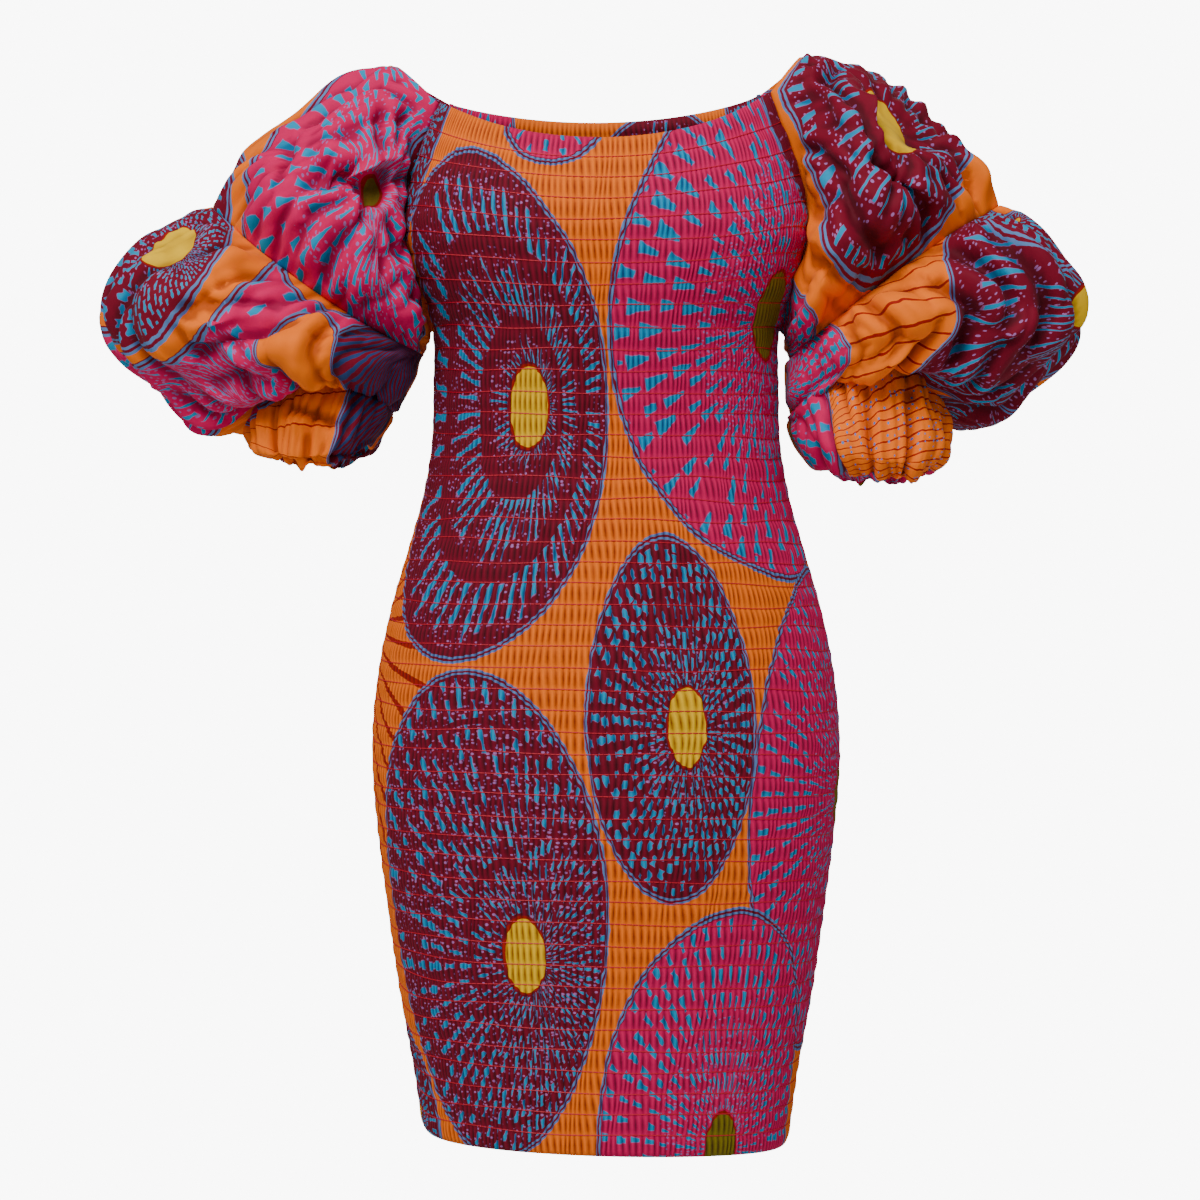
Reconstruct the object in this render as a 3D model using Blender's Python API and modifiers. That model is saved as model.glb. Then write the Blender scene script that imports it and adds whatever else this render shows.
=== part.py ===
"""Off-the-shoulder wax-print dress, worn shape, with no wearer in it.

Two shirred body panels meet at the side seams.  Each sleeve is three gathered puffs, sewn to each
other on elastic and to the body round the armhole; over the shoulder its edge is part of the neckline.
Metres, +Z up.  The origin is the middle of the neck opening, -Y the front, +X the wearer's left.
"""
import math

import bmesh
import bpy
import numpy as np

COLLECTION = "wax_print_dress"

# Cloth and seams
BODY_WALL = 0.0016        # body cloth with its elastic, under the ridges
SHIRR_RISE = 0.0014       # how far a ridge stands out between two elastic rows
SHIRR_RIDGES = 48         # ridges from the neckline to the hem
SLEEVE_WALL = 0.0015
SEAM_GAP = 0.0003

# Grids
BODY_COLUMNS = 14         # steps across a panel
INSIDE_SHARES = ((0, 32, 2), (32, 96, 4))   # lines of the plain inside: from line, to line, every
SLEEVE_STEPS = 48         # steps round a sleeve
GATHERS = 12              # gathers round each gathered line of a sleeve

# Body: heights of the edges at the centre and their tilt across the width
FRONT_NECK_Z = -0.018
BACK_NECK_Z = 0.019
FRONT_CORNER_RISE = 0.037  # neckline corner above the neckline's middle, front
BACK_CORNER_RISE = 0.014
NECK_CURVE = 2            # how late the neckline turns up to its corners
NECK_TILT = 0.030
HEM_Z = -0.783
HEM_TILT = -0.045
HEM_SIDE_RISE = 0.010     # the hem at the side seams above its middle
HEM_CURVE = 8

# Body: half width and depth of its sections
BODY_SECTIONS = (
    # z, half_width, front_depth, back_depth
    (0.045, 0.1200, 0.070, 0.074),
    (0.015, 0.1270, 0.084, 0.082),
    (-0.020, 0.1410, 0.102, 0.088),
    (-0.055, 0.1510, 0.117, 0.092),
    (-0.082, 0.1530, 0.122, 0.094),
    (-0.116, 0.1450, 0.119, 0.093),
    (-0.154, 0.1340, 0.110, 0.090),
    (-0.200, 0.1332, 0.098, 0.086),
    (-0.248, 0.1350, 0.092, 0.085),
    (-0.287, 0.1420, 0.094, 0.090),
    (-0.326, 0.1530, 0.098, 0.098),
    (-0.373, 0.1665, 0.103, 0.109),
    (-0.420, 0.1760, 0.107, 0.118),
    (-0.482, 0.1810, 0.110, 0.124),
    (-0.544, 0.1765, 0.110, 0.122),
    (-0.607, 0.1685, 0.107, 0.115),
    (-0.669, 0.1595, 0.103, 0.107),
    (-0.732, 0.1480, 0.099, 0.100),
    (-0.800, 0.1390, 0.096, 0.094),
)
SECTION_FULLNESS = 0.92   # under 1 squares the sections a little

# Armhole, from the side seam up to the neckline corner
UNDERARM_Z = -0.154
ARMHOLE_DEPTH = 0.050     # its front and back seams from the side line
ARMHOLE_TURN = 0.075      # height over which its lower end turns
UNDERARM_CURVE = 3        # how late the sleeve's edge turns under the arm

# Sleeves: a row is one ring, from the armhole to the cuff.  Outer and inner are where the ring crosses
# the side plane, mid_out how far its front and back stand outward of the line between those two, front
# and back its half depths, and droop how far its front and back hang below that line.
# R0 is the armhole, R1 and R2 the elastic lines between the puffs, R3 the cuff, T the rings of a puff.
RIGHT_SLEEVE = (
    # ring, outer_x, outer_z, inner_x, inner_z, mid_out, front, back, front_droop, back_droop
    ("T1", 0.1765, 0.0520, 0.1390, -0.1600, 0.004, 0.082, 0.082, 0.000, 0.000),
    ("T1", 0.2070, 0.0395, 0.1400, -0.1630, 0.003, 0.104, 0.100, 0.002, 0.002),
    ("T1", 0.2395, 0.0140, 0.1410, -0.1660, 0.000, 0.113, 0.108, 0.006, 0.006),
    ("T1", 0.2755, -0.0110, 0.1420, -0.1700, 0.000, 0.106, 0.104, 0.010, 0.010),
    ("R1", 0.3050, -0.0600, 0.1430, -0.1740, 0.000, 0.074, 0.074, 0.012, 0.010),
    ("T2", 0.3300, -0.0660, 0.1460, -0.1810, 0.000, 0.104, 0.100, 0.012, 0.010),
    ("T2", 0.3620, -0.0860, 0.1490, -0.1880, 0.000, 0.122, 0.116, 0.010, 0.008),
    ("T2", 0.3870, -0.1290, 0.1520, -0.1950, 0.000, 0.128, 0.122, 0.006, 0.004),
    ("T2", 0.3800, -0.1620, 0.1560, -0.2020, 0.000, 0.122, 0.118, 0.000, 0.000),
    ("T2", 0.3480, -0.1970, 0.1600, -0.2090, 0.000, 0.108, 0.106, -0.010, -0.006),
    ("T2", 0.3180, -0.2330, 0.1630, -0.2150, 0.000, 0.090, 0.090, -0.018, -0.012),
    ("R2", 0.2700, -0.2180, 0.1660, -0.2190, 0.000, 0.064, 0.064, -0.026, -0.016),
    ("T3", 0.2790, -0.2380, 0.1710, -0.2280, 0.000, 0.086, 0.084, 0.000, 0.002),
    ("T3", 0.2770, -0.2460, 0.1770, -0.2390, 0.000, 0.094, 0.090, 0.018, 0.014),
    ("T3", 0.2660, -0.2475, 0.1830, -0.2460, 0.000, 0.078, 0.074, 0.026, 0.020),
    ("R3", 0.2600, -0.2340, 0.1880, -0.2340, 0.000, 0.052, 0.052, 0.004, 0.004),
)
LEFT_SLEEVE = (
    # ring, outer_x, outer_z, inner_x, inner_z, mid_out, front, back, front_droop, back_droop
    ("T1", 0.1660, 0.0585, 0.1385, -0.1600, 0.011, 0.082, 0.082, 0.000, 0.000),
    ("T1", 0.1900, 0.0475, 0.1390, -0.1630, 0.008, 0.104, 0.100, 0.000, 0.002),
    ("T1", 0.2215, 0.0240, 0.1400, -0.1660, 0.004, 0.113, 0.108, 0.000, 0.006),
    ("T1", 0.2625, -0.0030, 0.1410, -0.1700, 0.000, 0.108, 0.104, -0.004, 0.008),
    ("T1", 0.2910, -0.0250, 0.1420, -0.1740, 0.000, 0.094, 0.092, -0.006, 0.010),
    ("R1", 0.3060, -0.0600, 0.1430, -0.1780, 0.000, 0.072, 0.074, -0.006, 0.010),
    ("T2", 0.3220, -0.0710, 0.1440, -0.1840, 0.000, 0.102, 0.100, -0.008, 0.010),
    ("T2", 0.3440, -0.0900, 0.1450, -0.1910, 0.000, 0.118, 0.114, -0.010, 0.008),
    ("T2", 0.3660, -0.1240, 0.1460, -0.1980, 0.000, 0.124, 0.120, -0.014, 0.004),
    ("T2", 0.3690, -0.1530, 0.1470, -0.2040, 0.000, 0.120, 0.116, -0.018, 0.000),
    ("T2", 0.3440, -0.1850, 0.1480, -0.2100, 0.000, 0.108, 0.106, -0.022, -0.006),
    ("T2", 0.3110, -0.2270, 0.1490, -0.2150, 0.000, 0.092, 0.090, -0.028, -0.012),
    ("R2", 0.2620, -0.2200, 0.1500, -0.2200, 0.000, 0.066, 0.066, -0.036, -0.018),
    ("T3", 0.2680, -0.2410, 0.1540, -0.2310, 0.000, 0.088, 0.086, -0.004, 0.002),
    ("T3", 0.2640, -0.2550, 0.1590, -0.2440, 0.000, 0.098, 0.094, 0.014, 0.014),
    ("T3", 0.2560, -0.2610, 0.1660, -0.2550, 0.000, 0.082, 0.078, 0.024, 0.020),
    ("R3", 0.2440, -0.2430, 0.1710, -0.2420, 0.000, 0.052, 0.052, 0.004, 0.004),
)
RING_FULLNESS = 0.90      # under 1 squares the rings a little
SHOULDER = {"right": (0.1640, 0.0500), "left": (0.1520, 0.0575)}   # top of a sleeve's neck edge: x, z
CORNER_SHARE = 0.24       # share of a sleeve's half ring that is neck edge

# Gathers: how their spacing and size vary round a ring
INNER_SLACK = 0.12        # their depth beside the body, against the outer side
SLACK_POWER = 1.3         # how soon it falls off towards the body
GATHER_SHIFT = 0.7        # turn, in radians, of one ring's gathers against the last ring's
GATHER_SWAY = ((3, 1, 0.09), (5, -2, 0.05))   # uneven spacing: waves a turn, shift by ring, radians
LOBE_SWAY = 0.8           # uneven spacing of a puff's lobes, in radians

# Steps down each puff, and how deep its gathers are at its two ends and its lobes in between
PUFFS = (
    # puff, first_ring, last_ring, steps, first_depth, last_depth, lobe_depth, lobes
    ("upper", "R0", "R1", 6, 0.0012, 0.0042, 0.0060, 5),
    ("middle", "R1", "R2", 7, 0.0042, 0.0040, 0.0070, 6),
    ("lower", "R2", "R3", 5, 0.0040, 0.0026, 0.0035, 5),
)

# Largest folds, each a soft trough (depth under 0) or ridge along a line on a puff's front or back
FOLDS = {
    "right": (
        # puff, side, x0, z0, x1, z1, width, depth
        ("upper", "front", 0.180, -0.044, 0.234, -0.040, 0.016, -0.014),
        ("upper", "front", 0.180, -0.044, 0.166, -0.100, 0.015, -0.012),
        ("upper", "front", 0.180, -0.044, 0.190, 0.010, 0.016, -0.010),
        ("middle", "front", 0.205, -0.135, 0.296, -0.160, 0.014, -0.010),
        ("middle", "front", 0.340, -0.085, 0.366, -0.125, 0.014, -0.011),
        ("upper", "back", 0.190, -0.030, 0.240, -0.060, 0.016, -0.012),
        ("upper", "back", 0.190, -0.030, 0.170, -0.090, 0.015, -0.012),
        ("middle", "back", 0.215, -0.150, 0.310, -0.150, 0.015, -0.010),
        ("middle", "back", 0.330, -0.090, 0.360, -0.140, 0.015, -0.010),
    ),
    "left": (
        # puff, side, x0, z0, x1, z1, width, depth
        ("upper", "front", 0.196, 0.010, 0.222, -0.052, 0.015, -0.013),
        ("upper", "front", 0.222, -0.052, 0.256, -0.076, 0.014, -0.012),
        ("upper", "front", 0.246, -0.012, 0.268, -0.050, 0.014, -0.010),
        ("middle", "front", 0.270, -0.100, 0.330, -0.150, 0.015, -0.010),
        ("upper", "back", 0.180, -0.010, 0.230, -0.060, 0.016, -0.012),
        ("upper", "back", 0.230, -0.020, 0.262, -0.062, 0.015, -0.011),
        ("middle", "back", 0.210, -0.150, 0.300, -0.150, 0.015, -0.010),
        ("middle", "back", 0.320, -0.100, 0.345, -0.150, 0.015, -0.010),
    ),
}

# Finish: colour, roughness
CLOTH_COLOURS = {
    "front_panel": (0.55, 0.08, 0.10),
    "back_panel": (0.55, 0.10, 0.08),
    "upper": (0.58, 0.02, 0.18),
    "middle": (0.30, 0.01, 0.05),
    "lower": (0.90, 0.30, 0.02),
}
CLOTH_ROUGHNESS = 0.8


def clear_scene():
    for old in list(bpy.data.objects):
        bpy.data.objects.remove(old, do_unlink=True)


def smooth_curve(knots, values, at):
    """Values at the places given, along a smooth curve through the increasing knots."""
    knots = np.asarray(knots, float)
    values = np.asarray(values, float)
    at = np.clip(at, knots[0], knots[-1])
    slopes = np.gradient(values, knots, axis=0)
    i = np.clip(np.searchsorted(knots, at, side="right") - 1, 0, len(knots) - 2)
    width = knots[i + 1] - knots[i]
    t = (at - knots[i]) / width
    shape = t.shape + (1,) * (values.ndim - 1)
    t = t.reshape(shape)
    width = width.reshape(shape)
    a = values[i] * (1 + 2 * t) * (1 - t) ** 2
    b = slopes[i] * width * t * (1 - t) ** 2
    c = values[i + 1] * t * t * (3 - 2 * t)
    d = slopes[i + 1] * width * t * t * (t - 1)
    return a + b + c + d


def body_section(z):
    """Half width, front depth and back depth at the heights z."""
    rows = np.array(BODY_SECTIONS)[::-1]
    flat = smooth_curve(rows[:, 0], rows[:, 1:], np.ravel(z))
    return [flat[:, k].reshape(np.shape(z)) for k in range(3)]


def armhole_depth(z):
    """How far the panel's side edge stands in front of, or behind, the side line at the heights z."""
    t = np.clip((z - UNDERARM_Z) / ARMHOLE_TURN, 0, 1)
    return ARMHOLE_DEPTH * (1 - (1 - t) ** 2)


def panel_point(side, across, z):
    """Plain outer surface of a panel: side is -1 in front and 1 behind, across runs from -1 to 1."""
    half_width, front, back = body_section(z)
    edge = armhole_depth(z)
    depth = front if side < 0 else back
    bow = np.cos(across * math.pi / 2) ** SECTION_FULLNESS
    x = half_width * np.sin(across * math.pi / 2)
    y = side * (edge + SEAM_GAP / 2 + (depth - edge) * bow)
    return np.stack([x, y, z], axis=-1)


def neck_z(side, across):
    middle, rise = (FRONT_NECK_Z, FRONT_CORNER_RISE) if side < 0 else (BACK_NECK_Z, BACK_CORNER_RISE)
    aside = np.sin(across * math.pi / 2)
    x = body_section(np.full(np.shape(across), middle))[0] * across
    return middle + rise * np.abs(aside) ** NECK_CURVE + NECK_TILT * x


def hem_z(across):
    x = body_section(np.full(np.shape(across), HEM_Z))[0] * across
    return HEM_Z + HEM_SIDE_RISE * np.abs(across) ** HEM_CURVE + HEM_TILT * x


def panel_grid(side, lines, inward):
    """Points of a panel on the lines, counted from the neckline, moved inward from its plain surface."""
    down, across = np.meshgrid(
        np.array(lines) / (2 * SHIRR_RIDGES), np.linspace(-1, 1, BODY_COLUMNS + 1), indexing="ij"
    )
    z = neck_z(side, across) * (1 - down) + hem_z(across) * down
    points = panel_point(side, across, z)
    half_width, front, back = body_section(z)
    depth = front if side < 0 else back
    outward = np.stack([points[..., 0] / half_width**2, points[..., 1] / depth**2, 0 * z], axis=-1)
    outward[:, 0] = (-1, 0, 0)
    outward[:, -1] = (1, 0, 0)
    outward /= np.linalg.norm(outward, axis=-1, keepdims=True)
    return points - outward * np.reshape(inward, (-1, 1, 1))


def close_rim(bm, outer, inner, lines):
    """Closes a panel's edge: the inner point k lies under the outer point lines[k]."""
    for k in range(len(inner) - 1):
        bm.faces.new(outer[lines[k] : lines[k + 1] + 1] + [inner[k + 1], inner[k]])


def add_grid(bm, points):
    """Adds a grid of quads and returns its vertices, row by row."""
    rows = [[bm.verts.new(p) for p in line] for line in points]
    for upper, lower in zip(rows, rows[1:]):
        for k in range(len(upper) - 1):
            bm.faces.new((upper[k], upper[k + 1], lower[k + 1], lower[k]))
    return rows


def make_object(name, bm, colour, collection):
    """A named object from the faces, which it frees, with its own material."""
    mesh = bpy.data.meshes.new(name)
    bm.to_mesh(mesh)
    bm.free()
    mesh.shade_smooth()
    material = bpy.data.materials.new(name)
    material.use_nodes = True
    shader = material.node_tree.nodes["Principled BSDF"]
    shader.inputs["Base Color"].default_value = (*colour, 1)
    shader.inputs["Roughness"].default_value = CLOTH_ROUGHNESS
    shader.inputs["Metallic"].default_value = 0
    mesh.materials.append(material)
    made = bpy.data.objects.new(name, mesh)
    collection.objects.link(made)
    return made


def make_panel(name, side, collection):
    """A body panel: ridges between the elastic rows outside, plain inside."""
    lines = list(range(2 * SHIRR_RIDGES + 1))
    inner_lines = [k for first, last, step in INSIDE_SHARES for k in range(first, last, step)] + [lines[-1]]
    bm = bmesh.new()
    outer = add_grid(bm, panel_grid(side, lines, [-SHIRR_RISE * (k % 2) for k in lines]))
    inner = add_grid(bm, panel_grid(side, inner_lines, [BODY_WALL] * len(inner_lines)))
    for edge in (0, -1):
        close_rim(bm, outer[edge], inner[edge], range(BODY_COLUMNS + 1))
        close_rim(bm, [row[edge] for row in outer], [row[edge] for row in inner], inner_lines)
    bmesh.ops.recalc_face_normals(bm, faces=bm.faces)
    make_object(name, bm, CLOTH_COLOURS[name], collection)


def armhole_ring(sleeve, turn):
    """The sleeve's first ring, x outward: the armhole seam, and over the shoulder the neck edge."""
    hand = -1 if sleeve == "right" else 1
    points = np.zeros((len(turn), 3))
    for i, angle in enumerate(turn):
        side = -1 if angle < math.pi else 1
        share = angle / math.pi if side < 0 else 2 - angle / math.pi
        corner_z = float(neck_z(side, np.array(float(hand))))
        if share < CORNER_SHARE:
            swing = share / CORNER_SHARE * math.pi / 2
            corner = seam_point(side, corner_z) + (0, side * SLEEVE_WALL, 0)
            top = (SHOULDER[sleeve][0], 0, SHOULDER[sleeve][1])
            x = top[0] + (corner[0] - top[0]) * (1 - math.cos(swing))
            z = top[2] + (corner[2] - top[2]) * (1 - math.cos(swing))
            points[i] = (x, corner[1] * math.sin(swing), z)
        else:
            down = (share - CORNER_SHARE) / (1 - CORNER_SHARE)
            swing = down**UNDERARM_CURVE * math.pi / 2
            lap = SLEEVE_WALL * np.array([0, side * math.cos(swing), -math.sin(swing)])
            points[i] = seam_point(side, corner_z + (UNDERARM_Z - corner_z) * down) + lap
    return points


def seam_point(side, z):
    """A point just clear of the panel's outer face, level with its edge at height z."""
    half_width = float(body_section(np.array(z))[0])
    depth = float(armhole_depth(np.array(z)))
    return np.array([half_width + SHIRR_RISE + SEAM_GAP, side * depth, z])


def ring_points(row, turn):
    """One ring of a sleeve from its row, x outward."""
    _, outer_x, outer_z, inner_x, inner_z, mid_out, front, back, front_droop, back_droop = row
    along = np.sign(np.cos(turn)) * np.abs(np.cos(turn)) ** RING_FULLNESS
    deep = np.abs(np.sin(turn)) ** RING_FULLNESS
    in_front = turn < math.pi
    x = (outer_x + inner_x) / 2 + (outer_x - inner_x) / 2 * along + mid_out * deep**2
    z = (outer_z + inner_z) / 2 + (outer_z - inner_z) / 2 * along
    z = z - np.where(in_front, front_droop, back_droop) * deep**2
    y = np.where(in_front, -front, back) * deep
    return np.stack([x, y, z], axis=-1)


def gather_wave(turn, ring):
    """Uneven waves round a gathered line, from -1 to 1."""
    uneven = turn + sum(size * np.sin(waves * turn + shift * ring) for waves, shift, size in GATHER_SWAY)
    slack = INNER_SLACK + (1 - INNER_SLACK) * ((1 + np.cos(turn)) / 2) ** SLACK_POWER
    return slack * np.cos(GATHERS * uneven + GATHER_SHIFT * ring)


def fold_depth(points, outward, sleeve, puff):
    """How far the puff's folds move each point along its normal."""
    moved = np.zeros(points.shape[:-1])
    for place, side, x0, z0, x1, z1, width, depth in FOLDS[sleeve]:
        if place != puff:
            continue
        start = np.array([x0, z0])
        run = np.array([x1 - x0, z1 - z0])
        flat = points[..., [0, 2]] - start
        share = np.clip((flat @ run) / (run @ run), 0, 1)
        away = np.linalg.norm(flat - share[..., None] * run, axis=-1)
        facing = np.clip(outward[..., 1] * (-1 if side == "front" else 1), 0, 1)
        moved += depth * np.exp(-((away / width) ** 2)) * facing
    return moved


def grid_normals(points):
    """Outward normals of a sleeve's rings; the grid is closed round its second axis."""
    down = np.gradient(points, axis=0)
    round_it = np.roll(points, -1, axis=1) - np.roll(points, 1, axis=1)
    normal = np.cross(round_it, down)
    return normal / np.linalg.norm(normal, axis=-1, keepdims=True)


def puff_points(sleeve, puff):
    """Rings of one puff, x outward, from its first gathered line to its last."""
    name, first, last, steps, first_depth, last_depth, lobe_depth, lobes = puff
    rows = RIGHT_SLEEVE if sleeve == "right" else LEFT_SLEEVE
    turn = np.arange(SLEEVE_STEPS) * 2 * math.pi / SLEEVE_STEPS
    names = [row[0] for row in rows]
    start = names.index(first) if first != "R0" else 0
    keys = [ring_points(row, turn) for row in rows[start : names.index(last) + 1]]
    if first == "R0":
        keys = [armhole_ring(sleeve, turn)] + keys
    keys = np.array(keys)
    spacing = np.linalg.norm(np.diff(keys, axis=0), axis=-1).mean(axis=1)
    knots = np.concatenate([[0], np.cumsum(spacing)]) / spacing.sum()
    down = np.linspace(0, 1, steps + 1)
    points = smooth_curve(knots, keys, down)
    ring_number = int(first[1])
    ease = down * down * (3 - 2 * down)
    at_first = np.where(down < 0.5, (1 - 2 * ease) ** 2, 0)[:, None]
    at_last = np.where(down > 0.5, (2 * ease - 1) ** 2, 0)[:, None]
    if first == "R0":
        at_first = at_first * np.minimum(down * steps, 1)[:, None]
    wave = first_depth * at_first * gather_wave(turn, ring_number)
    wave = wave + last_depth * at_last * gather_wave(turn, ring_number + 1)
    from_middle = points - points.mean(axis=1, keepdims=True)
    radius = np.linalg.norm(from_middle, axis=-1, keepdims=True)
    points = points + from_middle / radius * wave[..., None]
    length = np.linalg.norm(np.diff(points, axis=0), axis=-1).sum(axis=0)
    room = length / length.max()
    middle = np.sin(down * math.pi)[:, None] ** 2
    lobe = lobe_depth * room * np.cos(lobes * turn + ring_number + LOBE_SWAY * np.sin(2 * turn))
    outward = grid_normals(points)
    moved = middle * lobe + middle**0.5 * fold_depth(points, outward, sleeve, name)
    points = points + outward * moved[..., None]
    return part_from_next(points, first != "R0")


def part_from_next(points, move_first):
    """Leaves half the seam gap at the puff's gathered ends."""
    points = points.copy()
    ends = ((0, 1), (-1, -2)) if move_first else ((-1, -2),)
    for end, inner in ends:
        run = points[inner] - points[end]
        points[end] += run / np.linalg.norm(run, axis=-1, keepdims=True) * SEAM_GAP / 2
    return points


def make_puff(sleeve, puff, collection):
    """One gathered puff of a sleeve: an open tube with its wall inside."""
    points = puff_points(sleeve, puff)
    hand = -1 if sleeve == "right" else 1
    bm = bmesh.new()
    rings = [[bm.verts.new((hand * x, y, z)) for x, y, z in ring] for ring in points]
    for upper, lower in zip(rings, rings[1:]):
        for k in range(SLEEVE_STEPS):
            nxt = (k + 1) % SLEEVE_STEPS
            corners = (upper[k], upper[nxt], lower[nxt], lower[k])
            bm.faces.new(corners if hand > 0 else corners[::-1])
    made = make_object(f"{sleeve}_sleeve_{puff[0]}_puff", bm, CLOTH_COLOURS[puff[0]], collection)
    wall = made.modifiers.new("wall", "SOLIDIFY")
    wall.thickness = SLEEVE_WALL
    wall.offset = -1
    wall.use_rim = True


def main():
    clear_scene()
    collection = bpy.data.collections.new(COLLECTION)
    bpy.context.scene.collection.children.link(collection)
    make_panel("front_panel", -1, collection)
    make_panel("back_panel", 1, collection)
    for sleeve in ("right", "left"):
        for puff in PUFFS:
            make_puff(sleeve, puff, collection)


main()
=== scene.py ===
"""Looks for the off-the-shoulder wax-print dress: printed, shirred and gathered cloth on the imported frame.

Metres, +Z up, -Y the front, +X the wearer's left.  Each sheet of cloth is a thin closed wall on its own
solid's form.  Its print is laid out in the cloth's own coordinates, so it bends with the folds.
"""

import math

import bpy
import numpy as np
from bpy.props import FloatProperty, IntProperty, PointerProperty
from bpy.types import Operator, Panel, PropertyGroup
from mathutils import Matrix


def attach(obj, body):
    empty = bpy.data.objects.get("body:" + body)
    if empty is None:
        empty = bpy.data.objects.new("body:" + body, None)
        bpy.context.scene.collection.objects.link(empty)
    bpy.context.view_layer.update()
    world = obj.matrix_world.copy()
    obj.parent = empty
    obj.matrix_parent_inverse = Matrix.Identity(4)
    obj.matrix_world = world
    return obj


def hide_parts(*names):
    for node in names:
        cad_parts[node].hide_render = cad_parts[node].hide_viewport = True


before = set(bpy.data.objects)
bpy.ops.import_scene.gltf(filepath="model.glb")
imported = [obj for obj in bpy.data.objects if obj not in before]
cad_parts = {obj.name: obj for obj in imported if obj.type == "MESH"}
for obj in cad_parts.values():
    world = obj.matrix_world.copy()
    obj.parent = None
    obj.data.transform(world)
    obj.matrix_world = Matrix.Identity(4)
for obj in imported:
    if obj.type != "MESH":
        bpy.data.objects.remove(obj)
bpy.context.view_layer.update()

bl_info = {
    "name": "Wax Print Dress",
    "version": (1, 0, 0),
    "blender": (4, 5, 0),
    "location": "3D Viewport > Sidebar > Dress",
    "description": "Dresses the packed solids in shirred and gathered wax-print cotton",
    "category": "Object",
}

# ---------------------------------------------------------------- sizes of the form, as in the solids

BODY_WALL = 0.0016
SLEEVE_WALL = 0.0015
SHIRR_RISE = 0.0014
SEAM_GAP = 0.0003
FRONT_NECK_Z = -0.018
BACK_NECK_Z = 0.019
FRONT_CORNER_RISE = 0.037
BACK_CORNER_RISE = 0.014
NECK_CURVE = 2
NECK_TILT = 0.030
HEM_Z = -0.783
HEM_TILT = -0.045
HEM_SIDE_RISE = 0.010
HEM_CURVE = 8
BODY_SECTIONS = (
    # z, half_width, front_depth, back_depth
    (0.045, 0.1200, 0.070, 0.074),
    (0.015, 0.1270, 0.084, 0.082),
    (-0.020, 0.1410, 0.102, 0.088),
    (-0.055, 0.1510, 0.117, 0.092),
    (-0.082, 0.1530, 0.122, 0.094),
    (-0.116, 0.1450, 0.119, 0.093),
    (-0.154, 0.1340, 0.110, 0.090),
    (-0.200, 0.1332, 0.098, 0.086),
    (-0.248, 0.1350, 0.092, 0.085),
    (-0.287, 0.1420, 0.094, 0.090),
    (-0.326, 0.1530, 0.098, 0.098),
    (-0.373, 0.1665, 0.103, 0.109),
    (-0.420, 0.1760, 0.107, 0.118),
    (-0.482, 0.1810, 0.110, 0.124),
    (-0.544, 0.1765, 0.110, 0.122),
    (-0.607, 0.1685, 0.107, 0.115),
    (-0.669, 0.1595, 0.103, 0.107),
    (-0.732, 0.1480, 0.099, 0.100),
    (-0.800, 0.1390, 0.096, 0.094),
)
SECTION_FULLNESS = 0.92
UNDERARM_Z = -0.154
ARMHOLE_DEPTH = 0.050
ARMHOLE_TURN = 0.075
UNDERARM_CURVE = 3

RIGHT_SLEEVE = (
    # ring, outer_x, outer_z, inner_x, inner_z, mid_out, front, back, front_droop, back_droop
    ("T1", 0.1765, 0.0520, 0.1390, -0.1600, 0.004, 0.082, 0.082, 0.000, 0.000),
    ("T1", 0.2070, 0.0395, 0.1400, -0.1630, 0.003, 0.104, 0.100, 0.002, 0.002),
    ("T1", 0.2395, 0.0140, 0.1410, -0.1660, 0.000, 0.113, 0.108, 0.006, 0.006),
    ("T1", 0.2755, -0.0110, 0.1420, -0.1700, 0.000, 0.106, 0.104, 0.010, 0.010),
    ("R1", 0.3050, -0.0600, 0.1430, -0.1740, 0.000, 0.074, 0.074, 0.012, 0.010),
    ("T2", 0.3300, -0.0660, 0.1460, -0.1810, 0.000, 0.104, 0.100, 0.012, 0.010),
    ("T2", 0.3620, -0.0860, 0.1490, -0.1880, 0.000, 0.122, 0.116, 0.010, 0.008),
    ("T2", 0.3870, -0.1290, 0.1520, -0.1950, 0.000, 0.128, 0.122, 0.006, 0.004),
    ("T2", 0.3800, -0.1620, 0.1560, -0.2020, 0.000, 0.122, 0.118, 0.000, 0.000),
    ("T2", 0.3480, -0.1970, 0.1600, -0.2090, 0.000, 0.108, 0.106, -0.010, -0.006),
    ("T2", 0.3180, -0.2330, 0.1630, -0.2150, 0.000, 0.090, 0.090, -0.018, -0.012),
    ("R2", 0.2700, -0.2180, 0.1660, -0.2190, 0.000, 0.064, 0.064, -0.026, -0.016),
    ("T3", 0.2790, -0.2380, 0.1710, -0.2280, 0.000, 0.086, 0.084, 0.000, 0.002),
    ("T3", 0.2770, -0.2460, 0.1770, -0.2390, 0.000, 0.094, 0.090, 0.018, 0.014),
    ("T3", 0.2660, -0.2475, 0.1830, -0.2460, 0.000, 0.078, 0.074, 0.026, 0.020),
    ("R3", 0.2600, -0.2340, 0.1880, -0.2340, 0.000, 0.052, 0.052, 0.004, 0.004),
)
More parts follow.
